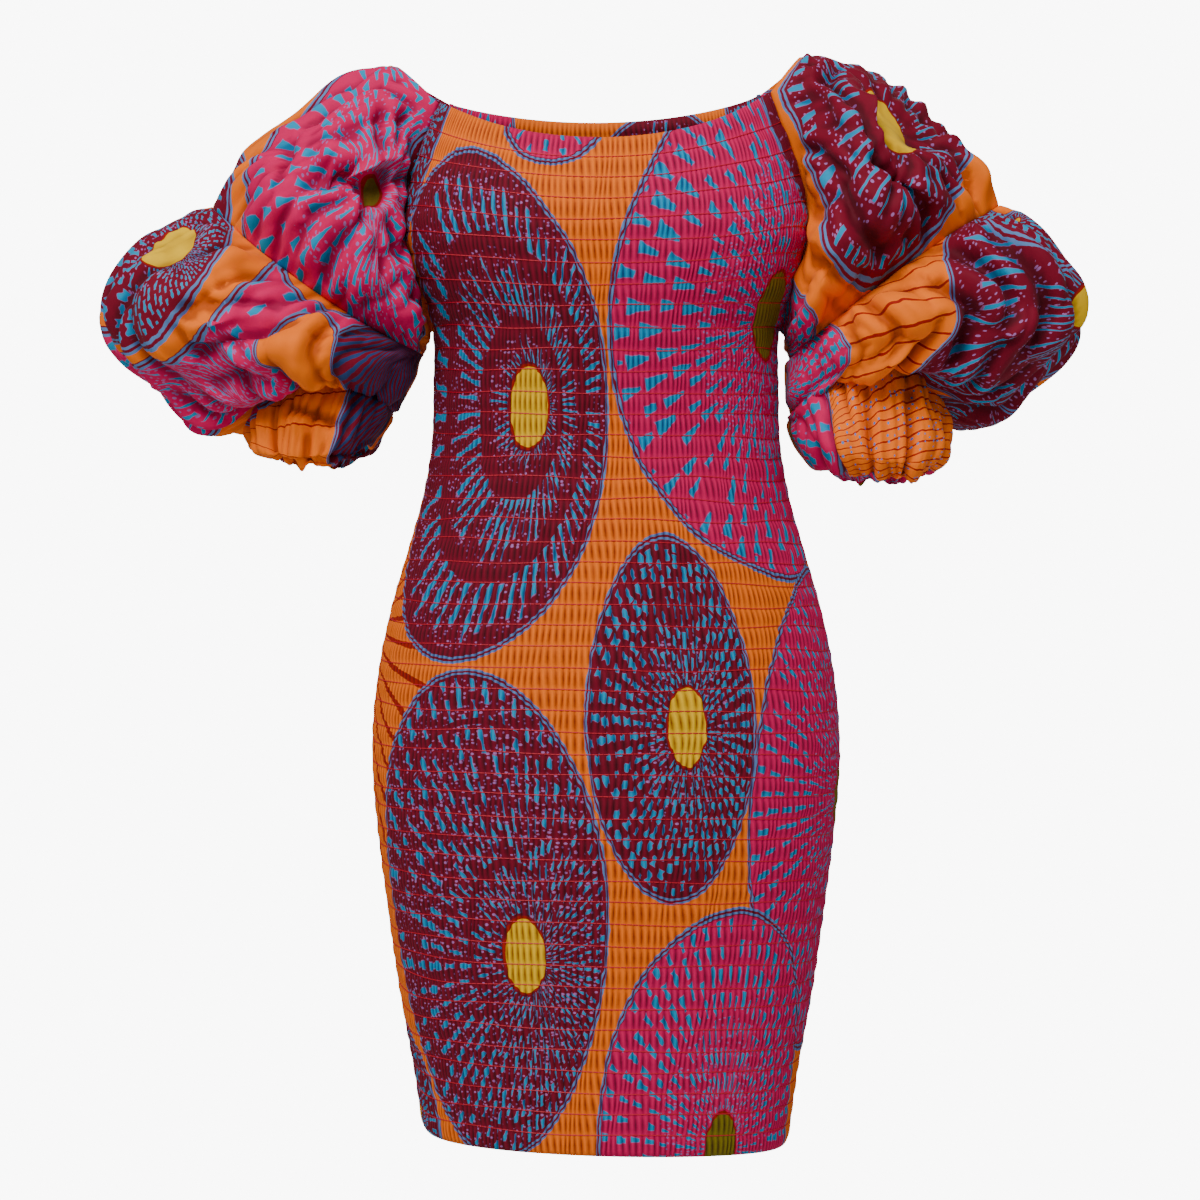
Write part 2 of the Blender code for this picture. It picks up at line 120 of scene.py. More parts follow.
LEFT_SLEEVE = (
    # ring, outer_x, outer_z, inner_x, inner_z, mid_out, front, back, front_droop, back_droop
    ("T1", 0.1660, 0.0585, 0.1385, -0.1600, 0.011, 0.082, 0.082, 0.000, 0.000),
    ("T1", 0.1900, 0.0475, 0.1390, -0.1630, 0.008, 0.104, 0.100, 0.000, 0.002),
    ("T1", 0.2215, 0.0240, 0.1400, -0.1660, 0.004, 0.113, 0.108, 0.000, 0.006),
    ("T1", 0.2625, -0.0030, 0.1410, -0.1700, 0.000, 0.108, 0.104, -0.004, 0.008),
    ("T1", 0.2910, -0.0250, 0.1420, -0.1740, 0.000, 0.094, 0.092, -0.006, 0.010),
    ("R1", 0.3060, -0.0600, 0.1430, -0.1780, 0.000, 0.072, 0.074, -0.006, 0.010),
    ("T2", 0.3220, -0.0710, 0.1440, -0.1840, 0.000, 0.102, 0.100, -0.008, 0.010),
    ("T2", 0.3440, -0.0900, 0.1450, -0.1910, 0.000, 0.118, 0.114, -0.010, 0.008),
    ("T2", 0.3660, -0.1240, 0.1460, -0.1980, 0.000, 0.124, 0.120, -0.014, 0.004),
    ("T2", 0.3690, -0.1530, 0.1470, -0.2040, 0.000, 0.120, 0.116, -0.018, 0.000),
    ("T2", 0.3440, -0.1850, 0.1480, -0.2100, 0.000, 0.108, 0.106, -0.022, -0.006),
    ("T2", 0.3110, -0.2270, 0.1490, -0.2150, 0.000, 0.092, 0.090, -0.028, -0.012),
    ("R2", 0.2620, -0.2200, 0.1500, -0.2200, 0.000, 0.066, 0.066, -0.036, -0.018),
    ("T3", 0.2680, -0.2410, 0.1540, -0.2310, 0.000, 0.088, 0.086, -0.004, 0.002),
    ("T3", 0.2640, -0.2550, 0.1590, -0.2440, 0.000, 0.098, 0.094, 0.014, 0.014),
    ("T3", 0.2560, -0.2610, 0.1660, -0.2550, 0.000, 0.082, 0.078, 0.024, 0.020),
    ("R3", 0.2440, -0.2430, 0.1710, -0.2420, 0.000, 0.052, 0.052, 0.004, 0.004),
)
SLEEVES = {"right": RIGHT_SLEEVE, "left": LEFT_SLEEVE}
HANDS = {"right": -1, "left": 1}
RING_FULLNESS = 0.90
SHOULDER = {"right": (0.1640, 0.0500), "left": (0.1520, 0.0575)}
CORNER_SHARE = 0.24
GATHERS = 12
INNER_SLACK = 0.12
SLACK_POWER = 1.3
GATHER_SHIFT = 0.7
GATHER_SWAY = ((3, 1, 0.09), (5, -2, 0.05))
LOBE_SWAY = 0.8
PUFFS = {
    # puff: first_ring, last_ring, first_depth, last_depth, lobe_depth, lobes
    "upper": ("R0", "R1", 0.0012, 0.0042, 0.0060, 5),
    "middle": ("R1", "R2", 0.0042, 0.0040, 0.0070, 6),
    "lower": ("R2", "R3", 0.0040, 0.0026, 0.0035, 5),
}
EASE_STEPS = {"upper": 6, "middle": 7, "lower": 5}
FOLDS = {
    "right": (
        # puff, side, x0, z0, x1, z1, width, depth
        ("upper", "front", 0.180, -0.044, 0.234, -0.040, 0.016, -0.014),
        ("upper", "front", 0.180, -0.044, 0.166, -0.100, 0.015, -0.012),
        ("upper", "front", 0.180, -0.044, 0.190, 0.010, 0.016, -0.010),
        ("middle", "front", 0.205, -0.135, 0.296, -0.160, 0.014, -0.010),
        ("middle", "front", 0.340, -0.085, 0.366, -0.125, 0.014, -0.011),
        ("upper", "back", 0.190, -0.030, 0.240, -0.060, 0.016, -0.012),
        ("upper", "back", 0.190, -0.030, 0.170, -0.090, 0.015, -0.012),
        ("middle", "back", 0.215, -0.150, 0.310, -0.150, 0.015, -0.010),
        ("middle", "back", 0.330, -0.090, 0.360, -0.140, 0.015, -0.010),
    ),
    "left": (
        # puff, side, x0, z0, x1, z1, width, depth
        ("upper", "front", 0.196, 0.010, 0.222, -0.052, 0.015, -0.013),
        ("upper", "front", 0.222, -0.052, 0.256, -0.076, 0.014, -0.012),
        ("upper", "front", 0.246, -0.012, 0.268, -0.050, 0.014, -0.010),
        ("middle", "front", 0.270, -0.100, 0.330, -0.150, 0.015, -0.010),
        ("upper", "back", 0.180, -0.010, 0.230, -0.060, 0.016, -0.012),
        ("upper", "back", 0.230, -0.020, 0.262, -0.062, 0.015, -0.011),
        ("middle", "back", 0.210, -0.150, 0.300, -0.150, 0.015, -0.010),
        ("middle", "back", 0.320, -0.100, 0.345, -0.150, 0.015, -0.010),
    ),
}

# ---------------------------------------------------------------- shirring, gathers and creases

RIB_POINTS = 4            # grid columns to one rib: crease, shoulder, crest, shoulder
ROW_POINTS = 4            # grid rows from one elastic row to the next
ROW_BASE = 0.0003         # cloth above the solid's plain face at an elastic row
RIB_UNEVEN = 0.28         # sideways wander of the ribs, in rib widths
RIB_CLOTH = (0.0, 0.36, 0.50, 0.64)   # flat cloth reached at each of a rib's points, as a share of its own
ROW_WANDER = 0.0012       # up and down wander of the elastic rows
BODY_CUT = (0.62, 0.80)   # flat width and length of a body panel
INSIDE_RIB = 0.0005       # height of the ribs on the inside

SLEEVE_COLUMNS = 352
SLEEVE_ROWS = {"upper": 80, "middle": 92, "lower": 52}
SLEEVE_CUTS = {
    # puff: cut width round the arm, cut length over its outside, cut length under the arm
    "upper": (0.74, 0.200, 0.070),
    "middle": (0.80, 0.300, 0.045),
    "lower": (0.48, 0.130, 0.065),
}
CLOTH_THICK = 0.0009
END_SHIFT = 0.0006        # share of a puff's length left free at each gathered line
END_OVERLAP = 0.0024      # how far the end of one puff runs on inside the next
SIDE_OVERLAP = 0.0012     # how far the back's side edges run on inside the front's
ROW_LEVELLING = 8         # how soon below the neck the elastic rows run level
ARMHOLE_TUCK = 0.0008     # how far a sleeve's first rows are drawn in against the panels
SWAYS = 14                # slow waves that make up the sideways wander of the ribs
DRIFTS = 8                # slow waves that make up the up and down wander of the rows
SIDE_HOLD = 0.05          # share of the half width over which the ribs come to rest at a side seam
SIDE_FLATTEN = 0.02       # share of the half width over which the ribs end at a side seam
ROW_FLATTEN = 0.30        # depth of a crease on an elastic row, as a share of its depth between two
CREASE_SHOULDER = 0.16    # depth of the cloth beside a crease, as a share of the crease's
SHOULDER_SHADE = 0.42     # its painted shade, as a share of the crease's
RING_PLEATS = (
    # armhole, two elastic lines, cuff: pleats, deepest in metres, narrowest and widest in radians
    (34, 0.0032, 0.030, 0.060),
    (46, 0.0064, 0.028, 0.066),
    (44, 0.0062, 0.030, 0.072),
    (36, 0.0026, 0.034, 0.070),
)
PLEAT_REACH = (0.14, 0.62)   # shortest and longest run of a pleat, as a share of the puff's length
PLEAT_GATHERED = 0.42        # share of a pleat's depth left on the gathered line itself
PLEATS_SET_IN = 0.09         # share of the puff's length over which a pleat deepens to the full
LOWER_PLEATS = (0.45, 0.06)  # pleats of a lower puff between its lines, and the share over which they calm
LUMP_WAVES = 7               # waves that make up the soft pillows
LUMP_LEVEL = 0.55            # their mean height
CREASES_FROM_LINE = 0.12     # share of a puff's length over which creases grow in from a gathered line
SQUARED_END = 0.08           # share of it that moves straight out from the arm at a gathered line
INSIDE_LIMIT = 0.002         # height up to which the inside follows the outside
FULL_SHADE_RELIEF = 0.0022   # depth under its neighbours at which a crease's painted shade is at its darkest
LUMPS = {
    # puff: lumps round the arm, lumps down it, their height, folds round it, their height
    "upper": (6, 1.1, 0.0075, 19, 0.0024),
    "middle": (7, 1.3, 0.0080, 21, 0.0026),
    "lower": (6, 0.8, 0.0045, 17, 0.0018),
}

CREASES = {
    # sleeve, puff: turn0, down0, turn1, down1, width, depth
    ("right", "upper"): (
        (1.53, 0.16, 1.57, 0.44, 0.0062, -0.0150),
        (1.54, 0.29, 1.12, 0.62, 0.0060, -0.0120),
        (1.54, 0.29, 2.02, 0.25, 0.0055, -0.0100),
        (1.54, 0.29, 1.20, 0.02, 0.0050, -0.0080),
        (1.54, 0.29, 1.66, 0.90, 0.0055, -0.0085),
        (1.54, 0.29, 0.95, 0.22, 0.0048, -0.0075),
        (1.54, 0.29, 1.36, 0.70, 0.0045, -0.0065),
        (1.54, 0.29, 0.78, 0.05, 0.0045, -0.0060),
        (0.62, 0.24, 0.36, 0.56, 0.0060, -0.0075),
        (0.95, 0.72, 0.48, 0.62, 0.0060, -0.0080),
        (0.28, 0.30, 0.10, 0.72, 0.0060, -0.0060),
        (-1.30, 0.25, -1.00, 0.80, 0.0070, -0.0085),
        (-1.90, 0.20, -1.70, 0.75, 0.0065, -0.0070),
        (-0.60, 0.35, -0.50, 0.85, 0.0070, -0.0070),
    ),
    ("right", "middle"): (
        (0.80, 0.36, 0.46, 0.66, 0.0060, -0.0110),
        (0.80, 0.36, 1.02, 0.16, 0.0050, -0.0070),
        (1.48, 0.50, 1.72, 0.26, 0.0070, -0.0130),
        (1.48, 0.50, 1.14, 0.62, 0.0060, -0.0095),
        (1.20, 0.40, 1.56, 0.22, 0.0055, -0.0085),
        (1.05, 0.74, 1.52, 0.72, 0.0055, -0.0080),
        (0.30, 0.15, 0.40, 0.50, 0.0060, -0.0070),
        (1.90, 0.12, 2.02, 0.66, 0.0060, -0.0080),
        (0.16, 0.62, 0.44, 0.95, 0.0055, -0.0080),
        (0.62, 0.70, 0.84, 0.96, 0.0050, -0.0070),
        (0.02, 0.50, 0.30, 0.62, 0.0050, -0.0060),
        (-0.80, 0.20, -0.70, 0.75, 0.0070, -0.0090),
        (-1.40, 0.25, -1.55, 0.80, 0.0065, -0.0080),
        (-0.30, 0.30, -0.25, 0.85, 0.0065, -0.0070),
    ),
    ("right", "lower"): (
        (0.40, 0.10, 0.60, 0.75, 0.0042, -0.0060),
        (1.00, 0.10, 1.10, 0.85, 0.0042, -0.0070),
        (1.30, 0.20, 2.05, 0.35, 0.0045, -0.0060),
        (1.55, 0.35, 1.60, 0.90, 0.0038, -0.0055),
        (2.10, 0.15, 2.05, 0.85, 0.0038, -0.0050),
        (-0.70, 0.15, -0.80, 0.85, 0.0042, -0.0055),
        (-1.60, 0.15, -1.50, 0.85, 0.0042, -0.0055),
    ),
    ("left", "upper"): (
        (0.98, 0.36, 1.25, 0.56, 0.0058, -0.0120),
        (1.25, 0.56, 1.32, 0.92, 0.0060, -0.0120),
        (0.98, 0.36, 0.72, 0.22, 0.0052, -0.0085),
        (0.72, 0.22, 0.40, 0.30, 0.0050, -0.0070),
        (0.42, 0.66, 0.72, 0.96, 0.0055, -0.0095),
        (0.92, 0.68, 1.00, 0.98, 0.0050, -0.0080),
        (1.52, 0.30, 1.70, 0.84, 0.0060, -0.0080),
        (1.35, 0.10, 1.48, 0.48, 0.0055, -0.0065),
        (2.05, 0.15, 2.00, 0.70, 0.0055, -0.0060),
        (0.12, 0.44, 0.20, 0.88, 0.0060, -0.0070),
        (-1.30, 0.25, -1.10, 0.80, 0.0070, -0.0085),
        (-1.90, 0.20, -1.75, 0.75, 0.0065, -0.0070),
        (-0.55, 0.35, -0.50, 0.85, 0.0070, -0.0070),
    ),
    ("left", "middle"): (
        (1.53, 0.24, 1.34, 0.70, 0.0062, -0.0120),
        (1.03, 0.18, 0.84, 0.58, 0.0058, -0.0100),
        (0.70, 0.34, 0.45, 0.62, 0.0055, -0.0085),
        (1.96, 0.10, 1.88, 0.58, 0.0058, -0.0100),
        (1.24, 0.10, 1.14, 0.52, 0.0052, -0.0080),
        (1.10, 0.62, 0.92, 0.96, 0.0050, -0.0080),
        (0.66, 0.66, 0.70, 0.96, 0.0048, -0.0070),
        (0.30, 0.52, 0.25, 0.94, 0.0055, -0.0080),
        (0.20, 0.08, 0.24, 0.42, 0.0058, -0.0070),
        (1.66, 0.46, 1.72, 0.92, 0.0050, -0.0080),
        (-0.85, 0.20, -0.75, 0.75, 0.0070, -0.0090),
        (-1.45, 0.25, -1.55, 0.80, 0.0065, -0.0080),
        (-0.30, 0.30, -0.25, 0.85, 0.0065, -0.0070),
    ),
    ("left", "lower"): (
        (0.60, 0.10, 0.65, 0.80, 0.0042, -0.0055),
        (1.20, 0.12, 1.25, 0.85, 0.0042, -0.0060),
        (1.75, 0.12, 1.80, 0.85, 0.0038, -0.0055),
        (2.30, 0.15, 2.25, 0.85, 0.0038, -0.0050),
        (-0.75, 0.15, -0.80, 0.85, 0.0042, -0.0055),
        (-1.60, 0.15, -1.55, 0.85, 0.0042, -0.0055),
    ),
}
DIMPLES = {
    # sleeve, puff: turn, down, hollow_radius, hollow_depth, ring_radius, ring_rise, rays, and how much
    # longer it is round the arm than down it
    ("right", "upper"): ((1.545, 0.29, 0.0090, 0.0050, 0.0340, 0.0042, 9, 1.0),),
    ("left", "upper"): ((0.694, 0.54, 0.0220, 0.0040, 0.0380, 0.0070, 15, 1.8),),
    ("right", "middle"): ((0.877, 0.242, 0.0200, 0.0030, 0.0340, 0.0030, 11, 1.4),),
}
DIMPLE_FOLDS = (0.90, 1.20)    # share of the folds that a dimple smooths away, and how many hollow radii out
DIMPLE_PLEATS = (0.95, 1.35)   # the same for pleats
DIMPLE_RING = (0.36, 0.45)     # width of the raised ring in its radii, and how uneven it is
EASED = {
    # sleeve, puff: turn, down, reach round, reach down, how far the cloth lies inside the solid's form
    ("right", "upper"): ((0.05, 0.47, 0.070, 0.048, 0.0125),),
    ("right", "lower"): ((0.95, 0.72, 0.200, 0.040, 0.0080), (-1.90, 0.72, 0.110, 0.040, 0.0060)),
    ("left", "upper"): ((0.34, 0.17, 0.022, 0.022, 0.0090), (0.32, 0.72, 0.055, 0.032, 0.0140)),
    ("left", "middle"): ((0.15, 0.84, 0.060, 0.034, 0.0130), (3.05, 0.70, 0.035, 0.040, -0.0070)),
    ("left", "lower"): (
        (1.10, 0.72, 0.160, 0.040, 0.0070),
        (-1.60, 0.72, 0.110, 0.040, 0.0060),
        (3.10, 0.42, 0.045, 0.045, -0.0110),
    ),
}

# ---------------------------------------------------------------- print: colours and layout

INK = {
    "orange": (1.00, 0.185, 0.000),
    "burgundy": (0.190, 0.000, 0.016),
    "magenta": (0.680, 0.000, 0.100),
    "turquoise": (0.000, 0.300, 0.540),
    "mauve": (0.400, 0.150, 0.400),
    "lilac": (0.110, 0.235, 0.500),
    "yellow": (0.900, 0.530, 0.000),
    "olive": (0.200, 0.160, 0.000),
    "dark red": (0.360, 0.006, 0.000),
    # navy: ink of the printed stripes, made dark navy rather than a lighter blue, which is partly painted shade
    "navy": (0.020, 0.050, 0.170),
}
ORANGE, BURGUNDY, MAGENTA, LINED, STRIPED, EDGED = range(6)

# An oval: u, v, half_u, half_v, hub_u, hub_v, hub, ink, spokes, rings, wedge, dash, stagger, dots and, where
# it has plain bands, bands, phase, plain.  Centre u, v and half sizes are in metres of flat cloth, the hub's
# place and radius are shares of the half sizes.  Wedge: above 0 the dashes narrow to the hub, below 0 away
# from it.  Dash is their width share and dots the share filled.  Bands: how many a radius, their phase and
# their share.  A later oval lies over the earlier ones.
OVALS = {
    "front_panel": (
        (-0.32, -0.43, 0.16, 0.16, -0.25, 0.25, 0.02, LINED, 40, 3, 0, 0.2, 0, 0),
        (-0.32, -0.02, 0.097, 0.075, 0.3, 0.1, 0.01, BURGUNDY, 40, 6, 0, 0.45, 0, 0.2),
        (-0.062, 0.02, 0.064, 0.0455, 0, 0.3, 0.1, MAGENTA, 22, 4, 0, 0.22, 1, 0.1),
        (-0.147, -0.217, 0.15, 0.198, 0.46, 0.03, 0.155, BURGUNDY, 62, 3.1, -0.5, 0.4, 0, 0.62, 3.1, 0.07, 0.2),
        (0.209, -0.145, 0.208, 0.202, 0.1, 0.01, 0.15, MAGENTA, 58, 7, 0.85, 0.6, 1, 0.8),
        (0.33, -0.018, 0.1, 0.0665, 0, 0, 0.01, BURGUNDY, 20, 3, 0, 0, 0, 0),
        (-0.32, -0.79, 0.107, 0.085, 0.3, 0, 0.1, BURGUNDY, 40, 7, 0, 0.45, 0, 0.3),
        (0.271, -0.53, 0.145, 0.195, 0.15, 0.05, 0.12, MAGENTA, 78, 9, 0.4, 0.34, 1, 0.2),
        (0.058, -0.455, 0.076, 0.146, 0.16, -0.06, 0.215, BURGUNDY, 56, 10, 0, 0.44, 1, 0.5),
        (0.124, -0.795, 0.134, 0.192, 0.05, 0, 0.15, MAGENTA, 62, 9, 0.6, 0.46, 0, 0.6),
        (-0.126, -0.614, 0.129, 0.196, 0.47, -0.18, 0.15, BURGUNDY, 70, 8.4, -0.3, 0.36, 1, 0.75, 2.1, 0.3, 0.05),
    ),
    "back_panel": (
        (0.281, 0, 0.107, 0.08, 0.2, 0, 0.01, BURGUNDY, 40, 7, 0, 0.45, 0, 0.2),
        (-0.242, -0.11, 0.145, 0.19, 0, 0, 0.15, MAGENTA, 56, 7, 0.85, 0.58, 1, 0.8),
        (0.073, -0.19, 0.15, 0.2, -0.3, 0.05, 0.15, BURGUNDY, 60, 3.1, -0.5, 0.4, 0, 0.6, 3.1, 0.07, 0.2),
        (0.32, -0.33, 0.107, 0.15, 0, 0, 0.15, MAGENTA, 60, 9, 0.6, 0.46, 1, 0.4),
        (-0.116, -0.44, 0.092, 0.135, 0.1, 0, 0.24, BURGUNDY, 54, 10, 0, 0.55, 1, 0.5),
        (-0.32, -0.47, 0.107, 0.15, 0, 0, 0.14, BURGUNDY, 60, 3.1, -0.4, 0.42, 0, 0.5, 3.1, 0.07, 0.2),
        (0.126, -0.56, 0.145, 0.17, -0.2, 0.1, 0.15, MAGENTA, 60, 7, 0.8, 0.55, 1, 0.7),
        (-0.107, -0.74, 0.135, 0.165, 0.2, 0, 0.16, BURGUNDY, 66, 8.4, -0.3, 0.42, 1, 0.6, 2.1, 0.3, 0.08),
        (0.29, -0.77, 0.107, 0.11, 0, 0, 0.18, BURGUNDY, 52, 10, 0, 0.55, 1, 0.4),
    ),
    "right_sleeve_upper_puff": (
        (0, -0.195, 0.075, 0.042, 0, 0, 0.2, BURGUNDY, 26, 5, 0, 0.5, 1, 0.3),
        (0.175, -0.06, 0.172, 0.125, 0.04, 0.16, 0.05, MAGENTA, 56, 7.5, 0.85, 0.62, 1, 0.75),
        (0.17, 0.022, 0.066, 0.034, 0, 0, 0.1, BURGUNDY, 34, 4, 0, 0.5, 0, 0.3),
        (-0.165, -0.06, 0.13, 0.12, 0, 0, 0.14, BURGUNDY, 42, 5.8, -0.4, 0.46, 0, 0.5, 2.9, 0.05, 0.2),
    ),
    "right_sleeve_middle_puff": (
        (0.17, -0.14, 0.2, 0.165, 0, -0.34, 0.06, MAGENTA, 64, 8, -0.7, 0.36, 1, 0.95),
        (0.34, -0.04, 0.086, 0.09, 0, 0.8, 0.05, STRIPED, 84, 3, 0, 0.45, 0, 0),
        (0.24, -0.08, 0.034, 0.062, 0, 0, 0.1, EDGED, 20, 3, 0, 0.1, 0, 0),
        (0.208, 0.006, 0.045, 0.022, 0, 0, 0.1, EDGED, 20, 3, 0, 0.1, 0, 0),
        (0.055, -0.055, 0.126, 0.112, 0, 0, 0.1, EDGED, 20, 3, 0, 0.1, 0, 0),
        (0.055, -0.075, 0.1, 0.08, 0.49, 0.17, 0.27, BURGUNDY, 60, 8, 0, 0.4, 1, 0.8),
        (-0.17, -0.11, 0.12, 0.115, 0, 0, 0.16, MAGENTA, 52, 6, 0.8, 0.55, 1, 0.7),
    ),
    "right_sleeve_lower_puff": (
        (0.12, -0.06, 0.4, 0.3, -0.9, 0, 0.02, LINED, 90, 3, 0, 0.05, 0, 0),
        (0.24, -0.05, 0.094, 0.13, 0, 0.85, 0.05, STRIPED, 96, 3, 0, 0.45, 0, 0),
        (0.035, 0, 0.046, 0.03, 0, 0, 0.42, MAGENTA, 26, 4, 0, 0.2, 0, 0.9),
        (-0.12, -0.06, 0.11, 0.1, 0, 0, 0.14, BURGUNDY, 38, 5.8, -0.4, 0.46, 0, 0.4, 2.9, 0.05, 0.2),
    ),
    "left_sleeve_upper_puff": (
        (0.085, -0.08, 0.15, 0.076, -0.03, -0.28, 0.25, BURGUNDY, 52, 2.6, -0.55, 0.36, 0, 0.6, 2.6, 0.1, 0.2),
        (-0.18, -0.06, 0.12, 0.12, 0, 0, 0.14, MAGENTA, 52, 6, 0.8, 0.55, 1, 0.8),
        (0.345, -0.04, 0.07, 0.08, 0.6, 0, 0.02, MAGENTA, 46, 7, 0, 0.5, 1, 0.2),
    ),
    "left_sleeve_middle_puff": (
        (0.18, -0.12, 0.45, 0.34, -0.8, -0.4, 0.02, LINED, 150, 3, 0, 0.12, 0, 0),
        (-0.02, -0.262, 0.1, 0.062, 0.1, 0.3, 0.05, BURGUNDY, 48, 2.2, -0.3, 0.28, 0, 0.6, 2.2, 0, 0.15),
        (0.09, -0.118, 0.113, 0.142, -0.28, -0.1, 0.1, BURGUNDY, 54, 2.1, -0.4, 0.32, 0, 0.6, 2.1, 0, 0.12),
        (0.06, -0.04, 0.062, 0.064, 0, 0, 0.05, BURGUNDY, 34, 5, 0, 0.5, 1, 0),
        (0.335, -0.02, 0.05, 0.075, 0.9, 0, 0.02, MAGENTA, 60, 9, 0, 0.5, 1, 0.2),
        (0.04, -0.004, 0.03, 0.03, 0, 0, 0.1, EDGED, 20, 3, 0, 0.1, 0, 0),
        (-0.15, -0.11, 0.12, 0.115, 0, 0, 0.16, BURGUNDY, 44, 5.8, -0.4, 0.46, 0, 0.5, 2.9, 0.05, 0.2),
    ),
    "left_sleeve_lower_puff": (
        (0.08, -0.05, 0.3, 0.2, 0.45, 0.05, 0.02, LINED, 84, 3, 0, 0.16, 0, 0.55, 1, 0, 0),
        (0.248, -0.02, 0.078, 0.095, 0, 0, 0.16, MAGENTA, 38, 5, 0, 0.45, 1, 0.2),
        (0.15, -0.088, 0.036, 0.032, 0, 0, 0.1, MAGENTA, 20, 4, 0, 0.3, 1, 0.2),
        (-0.12, -0.06, 0.11, 0.1, 0, 0, 0.14, MAGENTA, 40, 9, 0.9, 0.5, 1, 0.4),
    ),
}
NO_BANDS = (0, 0, 0)
BORDER = (
    # from and to, in metres in from an oval's edge, and the ink
    (0.0, 0.0058, "burgundy"),
    (0.0, 0.0017, "lilac"),
    (0.0034, 0.0051, "lilac"),
)
CLEAR_OF_BORDER = 0.0075  # where dashes and dots begin
HUB_RIM = 0.012           # width of the dark line round a hub, as a share of the half size
HUB_CLEAR = 0.02          # gap between a hub and the first dash
SPECKLE_SCALE = 250       # dots a metre of cloth
SPECKLE_STRETCH = 0.75    # the dots are longer across the cloth
SPECKLE_REACH = 0.55      # how far from the hub ovals without bands are dotted, as a share of the half size
FRINGE = 0.06             # how much wider than a dash its pale fringe is
WAVER_SCALE = 105         # unevenness of the printed edges: waves a metre
WAVER = 0.0026            # and its size in metres
WEAVE_PITCH = 0.0007
# painted shade in the creases: the colour the ink is darkened towards there, and how strongly on the body and on
# the sleeves
PAINTED_CREASE_SHADE_TINT = (0.22, 0.08, 0.26)
CREASE_SHADE = {"body": 1.0, "sleeve": 0.62}
THREAD_COLOUR = (0.52, 0.000, 0.018)

# ---------------------------------------------------------------- studio

CAMERA_AT = (-0.0047, -2.6, -0.365)
VIEW_WIDTH = 0.936        # metres across the picture at the dress
SENSOR = 36.0             # millimetres
FLOOR_Z = -1.32
FLOOR_SIZE = 3.0
FLOOR_COLOUR = (0.86, 0.86, 0.85, 1)
LIGHT_SIZE = 1.6
LIGHTS_FACE_Z = -0.35
LIGHTS = (
    # name, place, the setting that holds its power
    ("key", (-0.6, -2.2, 1.9), "key"),
    ("fill_left", (-2.4, -1.2, 0.2), "fill"),
    ("fill_right", (2.4, -1.4, 0.2), "fill"),
    ("back", (0.6, 2.4, 1.4), "fill"),
)


# ================================================================ curves and surfaces

def smooth_curve(knots, values, at):
    """Values at the places given, along a smooth curve through the increasing knots."""
    knots = np.asarray(knots, float)
    values = np.asarray(values, float)
    at = np.clip(at, knots[0], knots[-1])
    slopes = np.gradient(values, knots, axis=0)
    i = np.clip(np.searchsorted(knots, at, side="right") - 1, 0, len(knots) - 2)
    width = knots[i + 1] - knots[i]
    t = (at - knots[i]) / width
    shape = t.shape + (1,) * (values.ndim - 1)
    t = t.reshape(shape)
    width = width.reshape(shape)
    a = values[i] * (1 + 2 * t) * (1 - t) ** 2
    b = slopes[i] * width * t * (1 - t) ** 2
    c = values[i + 1] * t * t * (3 - 2 * t)
    d = slopes[i + 1] * width * t * t * (t - 1)
    return a + b + c + d


def body_section(z):
    """Half width, front depth and back depth at the heights z."""
    rows = np.array(BODY_SECTIONS)[::-1]
    flat = smooth_curve(rows[:, 0], rows[:, 1:], np.ravel(z))
    return [flat[:, k].reshape(np.shape(z)) for k in range(3)]


def armhole_depth(z):
    """How far a panel's side edge stands in front of, or behind, the side line at the heights z."""
    t = np.clip((z - UNDERARM_Z) / ARMHOLE_TURN, 0, 1)
    return ARMHOLE_DEPTH * (1 - (1 - t) ** 2)


def panel_point(side, across, z):
    """Plain outer surface of a panel: side is -1 in front and 1 behind, across runs from -1 to 1."""
    half_width, front, back = body_section(z)
    edge = armhole_depth(z)
    depth = front if side < 0 else back
    bow = np.maximum(np.cos(across * math.pi / 2), 0) ** SECTION_FULLNESS
    x = half_width * np.sin(across * math.pi / 2)
    y = side * (edge + SEAM_GAP / 2 + (depth - edge) * bow)
    return np.stack([x, y, z], axis=-1)


def neck_z(side, across):
    """Height of a panel's neck edge."""
    middle, rise = (FRONT_NECK_Z, FRONT_CORNER_RISE) if side < 0 else (BACK_NECK_Z, BACK_CORNER_RISE)
    aside = np.sin(across * math.pi / 2)
    x = body_section(np.full(np.shape(across), middle))[0] * across
    return middle + rise * np.abs(aside) ** NECK_CURVE + NECK_TILT * x


def hem_z(across):
    """Height of the hem."""
    x = body_section(np.full(np.shape(across), HEM_Z))[0] * across
    return HEM_Z + HEM_SIDE_RISE * np.abs(across) ** HEM_CURVE + HEM_TILT * x


def seam_point(side, z):
    """A point just clear of the panel's outer face, level with its edge at height z."""
    half_width = float(body_section(np.array(z))[0])
    depth = float(armhole_depth(np.array(z)))
    return np.array([half_width + SHIRR_RISE + SEAM_GAP, side * depth, z])


